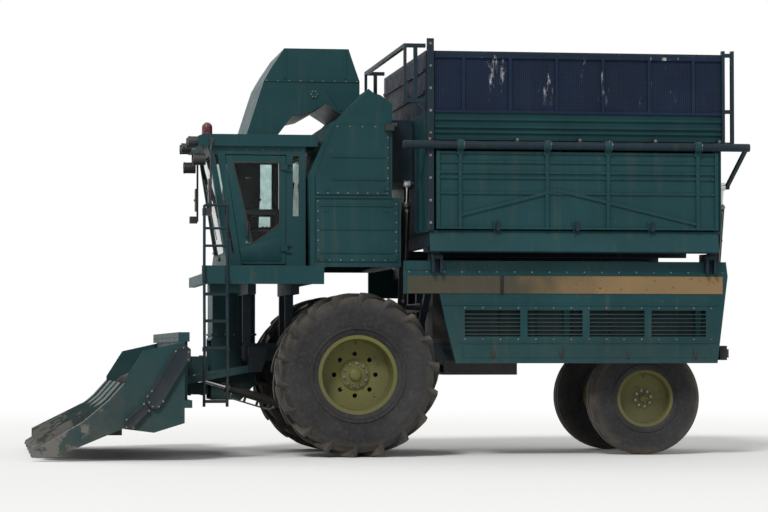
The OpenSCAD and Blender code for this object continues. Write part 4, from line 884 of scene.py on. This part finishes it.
DUCT_BEND_Z = 1800
rows = []
for z in (1352, 2312, 2912):
    lean = max(0, z - DUCT_BEND_Z)
    front, back = -1396 + lean * 0.135, -982 + lean * 0.0475
    for y, s in ((496, -1), (1224, 1)):
        rows += line_of((front, y, z), (back, y, z), 5, (0, s, 0))
bolts("duct_flange_bolts", rows, 12, 5, 1.5)
PANEL_EDGES = (((-400, 2165), (-405, 2815), 7), ((470, 2165), (470, 2790), 7), ((-405, 2905), (370, 2905), 8),
               ((375, 2960), (375, 3640), 7), ((-400, 2165), (470, 2165), 8), ((-190, 3645), (375, 3645), 5))
rows = []
for y, s in ((-1104, -1), (1224, 1)):
    for (x0, z0), (x1, z1), count in PANEL_EDGES:
        rows += line_of((x0, y, z0), (x1, y, z1), count, (0, s, 0))
bolts("cleaner_panel_bolts", rows, 13, 5, 1.6)
rows = []
for y, s in ((-360, -1), (1220, 1)):
    rows += line_of((-900, y, 4215), (130, y, 4215), 9, (0, s, 0))
    rows += bolt_circle((-361, y, 4066), 36, 6, (0, s, 0))
bolts("hood_bolts", rows, 12, 5, 1.5)
rows = [(x, y, z, (0, s, 0)) for y, s in ((-1000, -1), (450, 1))
        for x in (-1340, -1180, -1000, -820, -640, -560) for z in (2040, 3385)]
bolts("cab_wall_screws", rows, 9, 3.5, 0)


# Basket: hinge collars and nipples, rivets along the ribs, catches, bolts of the bars

PIN_X, PIN_Y, PIN_Z = (1094, 2060, 2744, 3758), -1668, 3410


def collars(name, pins_x, reach, y, z, profile):
    """A turned collar on both ends of each pin that lies along X, reach from its middle."""
    return joined(name, [lathe("collar", profile, (x + s * reach, y, z), (s, 0, 0), 28)
                         for x in pins_x for s in (-1, 1)])


collar = [(46, 0.3), (57, 0.3), (58, 3), (54, 6), (46, 6)]
fitted(collars("door_hinge_collars", PIN_X, 35, PIN_Y, PIN_Z, collar), zinc, "basket_door")
nipple = [(0.02, 0), (7, 0), (7, 5), (4, 6), (3, 12), (4.5, 14), (0.02, 17)]
nipples = [lathe("nipple", nipple, (x, PIN_Y - 42, PIN_Z + 42), (0, -0.7, 0.7), 12) for x in PIN_X]
fitted(joined("door_hinge_nipples", nipples), zinc, "basket_door")
rivets = []
for x in (849, *PIN_X, 3971):
    rivets += line_of((x, -1658, 2540), (x, -1658, 3320), 10, LEFT)
for z in (2506, 2888, 3057, 3116, 3228, 3330):
    rivets += [(x, -1648, z, LEFT) for x in range(930, 3920, 165) if min(abs(x - rib) for rib in PIN_X) > 34]
bolts("basket_door_rivets", rivets, 13, 5, 0, green_paint, "basket_door")
catches = []
for x in (1500, 2383, 3232):
    bends = [(x - 30, y, z) for y, z in ((-1645, 2560), (-1660, 2560), (-1668, 2548), (-1668, 2462))]
    bar = pipe("bar", bends, 7, 10)
    hook = rounded(block("hook", (x - 6, -1662, 2478), (x + 34, -1644, 2582)), 4)
    catches += [rounded(bar, 1.2), stepped(hook, LEFT, (6, -3))]
fitted(joined("basket_door_catches", catches), dark_paint, "basket_door")
spots = [(x, PIN_Y, 3475, LEFT) for x in (755, 1725, 2425, 3275, 4001)]
spots += line_of((767, -1650, 2560), (767, -1650, 4520), 9, LEFT)
bolts("basket_bar_bolts", spots, 24, 12, 3, zinc, "basket")
rivets = []
for x in (1137, 1657, 2177, 2697, 3217, 3717):
    for s in (-1, 1):
        rivets += line_of((x, s * 1624, 3800), (x, s * 1624, 4350), 8, (0, s, 0))
    rivets += line_of((x + 3, 1626, 2540), (x + 3, 1626, 3430), 9, (0, 1, 0))
for y in (-1040, -520, 0, 520, 1040):
    rivets += line_of((4058, y, 3745), (4058, y, 3930), 3, BACKWARD)
for y in (-520, 0, 520, 1040):
    rivets += line_of((4060, y, 2520), (4060, y, 3410), 9, BACKWARD)
bolts("basket_wall_rivets", rivets, 11, 4, 0, dark_paint, "basket")
cap = [(0.02, 0.3), (44, 0.3), (44, 3), (40, 6), (0.02, 7)]
fitted(lathe("bar_end_cap", cap, (464, PIN_Y, PIN_Z), FORWARD), rubber_seal, "basket")


# Cylinders: glands, ports, hard lines and clamps along the barrels, rings at the pins

def dress_cylinder(tag, base, eye, length, barrel, rod, out, body):
    """Fittings on one barrel, given its radius and its rod's; out is the side of its ports and line."""
    way = Vector(eye) - Vector(base)

    def spot(distance, off=0.0):
        return tuple(Vector(base) + way.normalized() * distance + Vector(out).normalized() * off)

    gland = [(rod + 1.6, 0.3), (barrel + 5, 0.3), (barrel + 6, 4), (barrel + 6, 26), (barrel - 6, 30),
             (barrel - 8, 42), (rod + 6, 46), (rod + 1.6, 44)]
    port = [(0.02, 0), (15, 0), (15, 12), (19, 13), (19, 24), (12, 26), (12, 34), (0.02, 34)]
    band = [(barrel + 0.4, -9), (barrel + 4, -9), (barrel + 4, 9), (barrel + 0.4, 9)]
    bends = ((length - 40, 24), (length - 40, 46), (length - 62, 56), (150, 56), (118, 40), (112, 12))
    parts = [lathe("gland", gland, spot(length), way)]
    parts += [lathe("port", port, spot(distance, barrel - 2), out, 16) for distance in (96, length - 40)]
    parts.append(rounded(pipe("line", [spot(distance, barrel + off) for distance, off in bends], 7, 10), 1.0))
    fitted(joined(tag + "_fittings", parts), zinc, body)
    clamps = (length * 0.36, length * 0.68)
    parts = [lathe("band", band, spot(distance), way) for distance in clamps]
    for distance in clamps:
        saddle = block("saddle", (-14, -14, 0), (14, 14, 58))
        saddle.data.transform(Matrix.Translation(-at(0, 0, 0)))
        saddle.data.transform(moved(*spot(distance, barrel + 2), normal=out))
        parts.append(rounded(saddle, 3))
    fitted(joined(tag + "_clamps", parts), black_paint, body)


DUMP_X, DUMP_BASE, DUMP_EYE = (620, 4230), (-500, 1650), (-900, 3025)
for tag, x in zip(("front", "rear"), DUMP_X):
    dress_cylinder("dump_" + tag, (x, *DUMP_BASE), (x, *DUMP_EYE), 1180, 50, 28, (0, -0.9602, -0.2793),
                   "dump_barrels")
for tag, y in (("left", -300), ("right", 300)):
    dress_cylinder("lift_" + tag, (-700, y, 560), (-1650, y, 850), 640, 46, 25, (-0.292, 0, -0.9564),
                   "lift_barrels")
collar = [(30, 0.3), (42, 0.3), (42, 3), (36, 4.6), (30, 4.6)]
fitted(collars("dump_eye_rings", DUMP_X, 34, *DUMP_EYE, collar), zinc, "dump_rods")
collar = [(30, 0.3), (46, 0.3), (46, 3), (40, 4.6), (30, 4.6)]
fitted(collars("dump_base_rings", DUMP_X, 34, *DUMP_BASE, collar), zinc, "dump_barrels")


# Header: skids under the dividers, covers of the drive cases, bolts

ROW_SPACING = 1016
SKID = ((-3500, 41), (-3300, 50), (-2600, 344), (-2600, 336), (-3300, 43), (-3500, 34))
UPPER_CASE = ((-2340, 600), (-2360, 670), (-2310, 730), (-2036, 1190), (-1946, 1230), (-1886, 1180),
              (-1886, 1090), (-2180, 610), (-2230, 550), (-2300, 550))
LOWER_CASE = ((-2570, 350), (-2570, 440), (-2370, 620), (-2310, 540), (-2490, 340))

skids = []
for k in range(5):
    y, width = (k - 2) * ROW_SPACING, 68 if k in (0, 4) else 52
    skids.append(rounded(plate("skid", [(x, y, z) for x, z in SKID], width), 2))
fitted(joined("divider_skids", skids), bare_steel, "header")
spots, covers = [], []
for s in (-1, 1):
    for ring in (UPPER_CASE, LOWER_CASE):
        cx, cz = sum(x for x, z in ring) / len(ring), sum(z for x, z in ring) / len(ring)
        spots += [(x + (cx - x) * 0.09, s * 2231.4, z + (cz - z) * 0.09, (0, s, 0)) for x, z in ring]
        shell = plate("drive_case", [(x, s * 2206.8, z) for x, z in ring], 48.6)
        covers.append(rounded(stepped(shell, (0, s, 0), (24, 0), (7, -7)), 5))
cases = fitted(joined("drive_case_covers", covers), dark_paint, "header")
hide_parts("drive_cases")
bolts("drive_case_bolts", spots, 15, 5, 1.4, zinc, "header")
rows = []
for k in range(4):
    for s in (-1, 1):
        y = (k - 1.5) * ROW_SPACING + s * 254
        rows += line_of((-3300, y, 290), (-2640, y, 590), 5, (0, s, 0))
rows += line_of((-2016.3, -2050, 1310), (-2016.3, 2050, 1310), 15, FORWARD)
rows += line_of((-1896, -2050, 1310), (-1896, 2050, 1310), 15, BACKWARD)
bolts("header_bolts", rows, 15, 6, 2, zinc, "header")


# Cross auger: smooth flights wound on the tube in place of the faceted ones

AUGER_X, AUGER_Z = -2270, 640


def flight(start, length, turns):
    """One flight whose flat section is wound along the tube, with its two ends closed."""
    section = [(0.0995, -0.005, 0), (0.27, -0.005, 0), (0.27, 0.005, 0), (0.0995, 0.005, 0)]
    piece = outline("flight", section, False)
    angle, steps = math.copysign(2 * math.pi * turns, -length), round(44 * turns)
    modified(piece, "SCREW", axis="Y", angle=angle, screw_offset=length / 1000, iterations=1, steps=steps,
             render_steps=steps)
    piece.data.transform(Matrix.Translation(at(AUGER_X, start, AUGER_Z)))
    faces(piece, lambda middle, normal: False)
    bpy.ops.mesh.select_mode(type="EDGE")
    bpy.ops.mesh.select_non_manifold()
    bpy.ops.mesh.fill_holes(sides=4)
    return put_right(piece)


tube = [(0.02, -2181), (30, -2181), (30, -2152), (100, -2152), (100, 2152), (30, 2152), (30, 2181),
        (0.02, 2181)]
tube = lathe("auger_tube", tube, (AUGER_X, 0, AUGER_Z), (0, 1, 0), 48)
ring = [(100.3, -12), (112, -12), (112, 12), (100.3, 12)]
rings = [lathe("ring", ring, (AUGER_X, y, AUGER_Z), (0, 1, 0), 40) for y in (-2136, 700, 1020, 2136)]
auger = joined("wound_cross_auger", [tube, flight(-2122, 2862, 6), flight(2122, -1142, 2.5)] + rings)
fitted(auger, bare_steel, "cross_auger", 40)
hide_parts("cross_auger")


# Engine: valve covers, fan with its shroud and pulley

VALVE_COVERS_X, FAN_Z = range(1110, 2000, 155), 1630
covers = []
for x in VALVE_COVERS_X:
    cover = block("cover", (x, -90, 2010.3), (x + 120, 130, 2046))
    covers.append(rounded(stepped(cover, UP, (12, 10), (26, -3)), 5))
fitted(joined("valve_covers", covers), casting)
spots = [(x + 60, y, 2047, UP) for x in VALVE_COVERS_X for y in (-74, 114)]
bolts("valve_cover_bolts", spots, 13, 7, 2)
vane = plate("fan", [(2296, 64, 1605), (2330, 64, 1655), (2326, 300, 1690), (2300, 320, 1610)], 4)
fan = repeat(rounded(vane, 1.2), [turned(at(0, 0, FAN_Z), math.pi / 3 * k, "X") for k in range(6)])
fitted(fan, black_plastic)
shroud = [(334, 0), (352, 0), (352, 46), (400, 52), (400, 56), (334, 50)]
fitted(lathe("fan_shroud", shroud, (2284, 0, FAN_Z), BACKWARD, 48), black_plastic)
pulley = [(60.4, 0), (118, 0), (118, 4), (109, 10), (109, 14), (118, 20), (118, 24), (60.4, 24)]
fitted(lathe("fan_pulley", pulley, (2160, 0, FAN_Z), BACKWARD, 36), black_paint)


# Tail lamps, cab floor mat and pedals, tyre sidewall beads

TAIL_LAMPS_Y = (-1270, 1130)
rims = [seal("rim", upright(4199, y - 3, 1087, y + 143, 1183), 11, 9) for y in TAIL_LAMPS_Y]
fitted(joined("tail_lamp_rims", rims), black_plastic)
lenses = []
for y in TAIL_LAMPS_Y:
    for first in (y + 12, y + 74):
        face = block("face", (4197.5, first, 1102), (4200, first + 56, 1168))
        lenses.append(rounded(stepped(face, BACKWARD, (5, 2.5)), 1.2))
fitted(joined("tail_lamp_lenses", lenses), red_lens)
mat = block("cab_floor_mat", (-1330, -900, 2050.4), (-700, 80, 2055))
faces(mat, facing(UP))
bpy.ops.mesh.subdivide(number_cuts=9)
bpy.ops.mesh.inset(thickness=0.012, depth=0.003, use_individual=True)
leave()
fitted(mat, rubber_seal)
pedals = []
for y in (-420, -190):
    pad = rounded(block("pad", (-1326, y, 2120), (-1318, y + 70, 2210)), 3)
    stem = pipe("stem", [(x, y + 35, z) for x, z in ((-1316, 2170), (-1290, 2150), (-1280, 2054))], 7, 8)
    pedals += [pad, rounded(stem, 1.0)]
fitted(joined("cab_pedals", pedals), black_paint)
for side, s in SIDES:
    for w in WHEELS:
        r, h = w.bead, w.bead_height
        bead = [(r - h, -6), (r - h, 2), (r - h / 2, 7), (r + h / 2, 9), (r + h, 4), (r + h, -6)]
        pair = [lathe("bead", bead, (w.x, s * w.y + way * w.bead_out, w.z), (0, way, 0), 72)
                for way in (-1, 1)]
        rubber = nodes[w.axle + "_tyre_" + side].data.materials[0]
        fitted(joined(w.axle + "_tyre_beads_" + side, pair), rubber, w.axle + "_wheel_" + side)


# Studio floor, light and camera

FLOOR_RADIUS, FADE_NEAR, FADE_FAR = 700, 7.0, 26.0


def white_for_view(tree, share):
    """1 for rays that the camera, gloss or glass sends out, times share."""
    ray = put(tree, "LightPath").outputs
    either = sums(tree, "MAXIMUM", ray["Is Camera Ray"], ray["Is Glossy Ray"])
    return times(tree, sums(tree, "MAXIMUM", either, ray["Is Transmission Ray"]), share)


leave()
bpy.ops.mesh.primitive_circle_add(vertices=96, radius=FLOOR_RADIUS, fill_type="NGON",
                                  location=(0, 0, -0.0005))
studio_floor = named("studio_floor")
made, tree, shader = finish("pale_studio_floor", Roughness=0.9, Specular_IOR_Level=0.1)
shader.inputs["Base Color"].default_value = (0.80, 0.80, 0.79, 1)
spot = axes_of(tree)
squares = sums(tree, "ADD", times(tree, spot["X"], spot["X"]), times(tree, spot["Y"], spot["Y"]))
far_off = between(tree, sums(tree, "SQRT", squares), FADE_NEAR, FADE_FAR)
far_off.node.interpolation_type = "SMOOTHSTEP"
shine = put(tree, "Emission", [("Color", (1, 1, 1, 1)), ("Strength", 1.0)]).outputs[0]
surface = put(tree, "MixShader", [(0, white_for_view(tree, far_off)), (1, shader.outputs[0]), (2, shine)])
tree.links.new(surface.outputs[0], tree.nodes["Material Output"].inputs["Surface"])
studio_floor.data.materials.append(made)

world = bpy.data.worlds.new("studio_world")
world.use_nodes = True
bpy.context.scene.world = world
tree = world.node_tree
back = tree.nodes["Background"]
back.inputs["Color"].default_value = (1, 1, 1, 1)
tree.links.new(between(tree, white_for_view(tree, 1.0), 0, 1, 0.58, 1.0), back.inputs["Strength"])


def soft_sun(name, strength, angle, direction):
    leave()
    bpy.ops.object.light_add(type="SUN", location=(0, 0, 12))
    sun = bpy.context.object
    sun.name = name
    sun.data.energy, sun.data.angle = strength, math.radians(angle)
    sun.rotation_euler = Vector(direction).to_track_quat("-Z", "Y").to_euler()


soft_sun("key_sun", 2.1, 14, (0.42, 0.78, -0.80))
soft_sun("fill_sun", 0.55, 40, (0.55, -0.85, -0.60))

CAMERA_YAW, CAMERA_WAY, CAMERA_HEIGHT = math.radians(8.0), 32.0, 1.15
CAMERA_AIM = Vector((0.10, 0.0, 2.25))
leave()
stand = (-math.sin(CAMERA_YAW) * CAMERA_WAY, -math.cos(CAMERA_YAW) * CAMERA_WAY, CAMERA_HEIGHT)
bpy.ops.object.camera_add(location=stand)
camera = bpy.context.object
camera.name = "photo_camera"
camera.data.lens = 131.0
camera.data.sensor_width = 36.0
camera.data.clip_end = 2000.0
camera.rotation_euler = (CAMERA_AIM - camera.location).to_track_quat("-Z", "Y").to_euler()
bpy.context.scene.camera = camera
bpy.context.scene.view_settings.view_transform = "Standard"
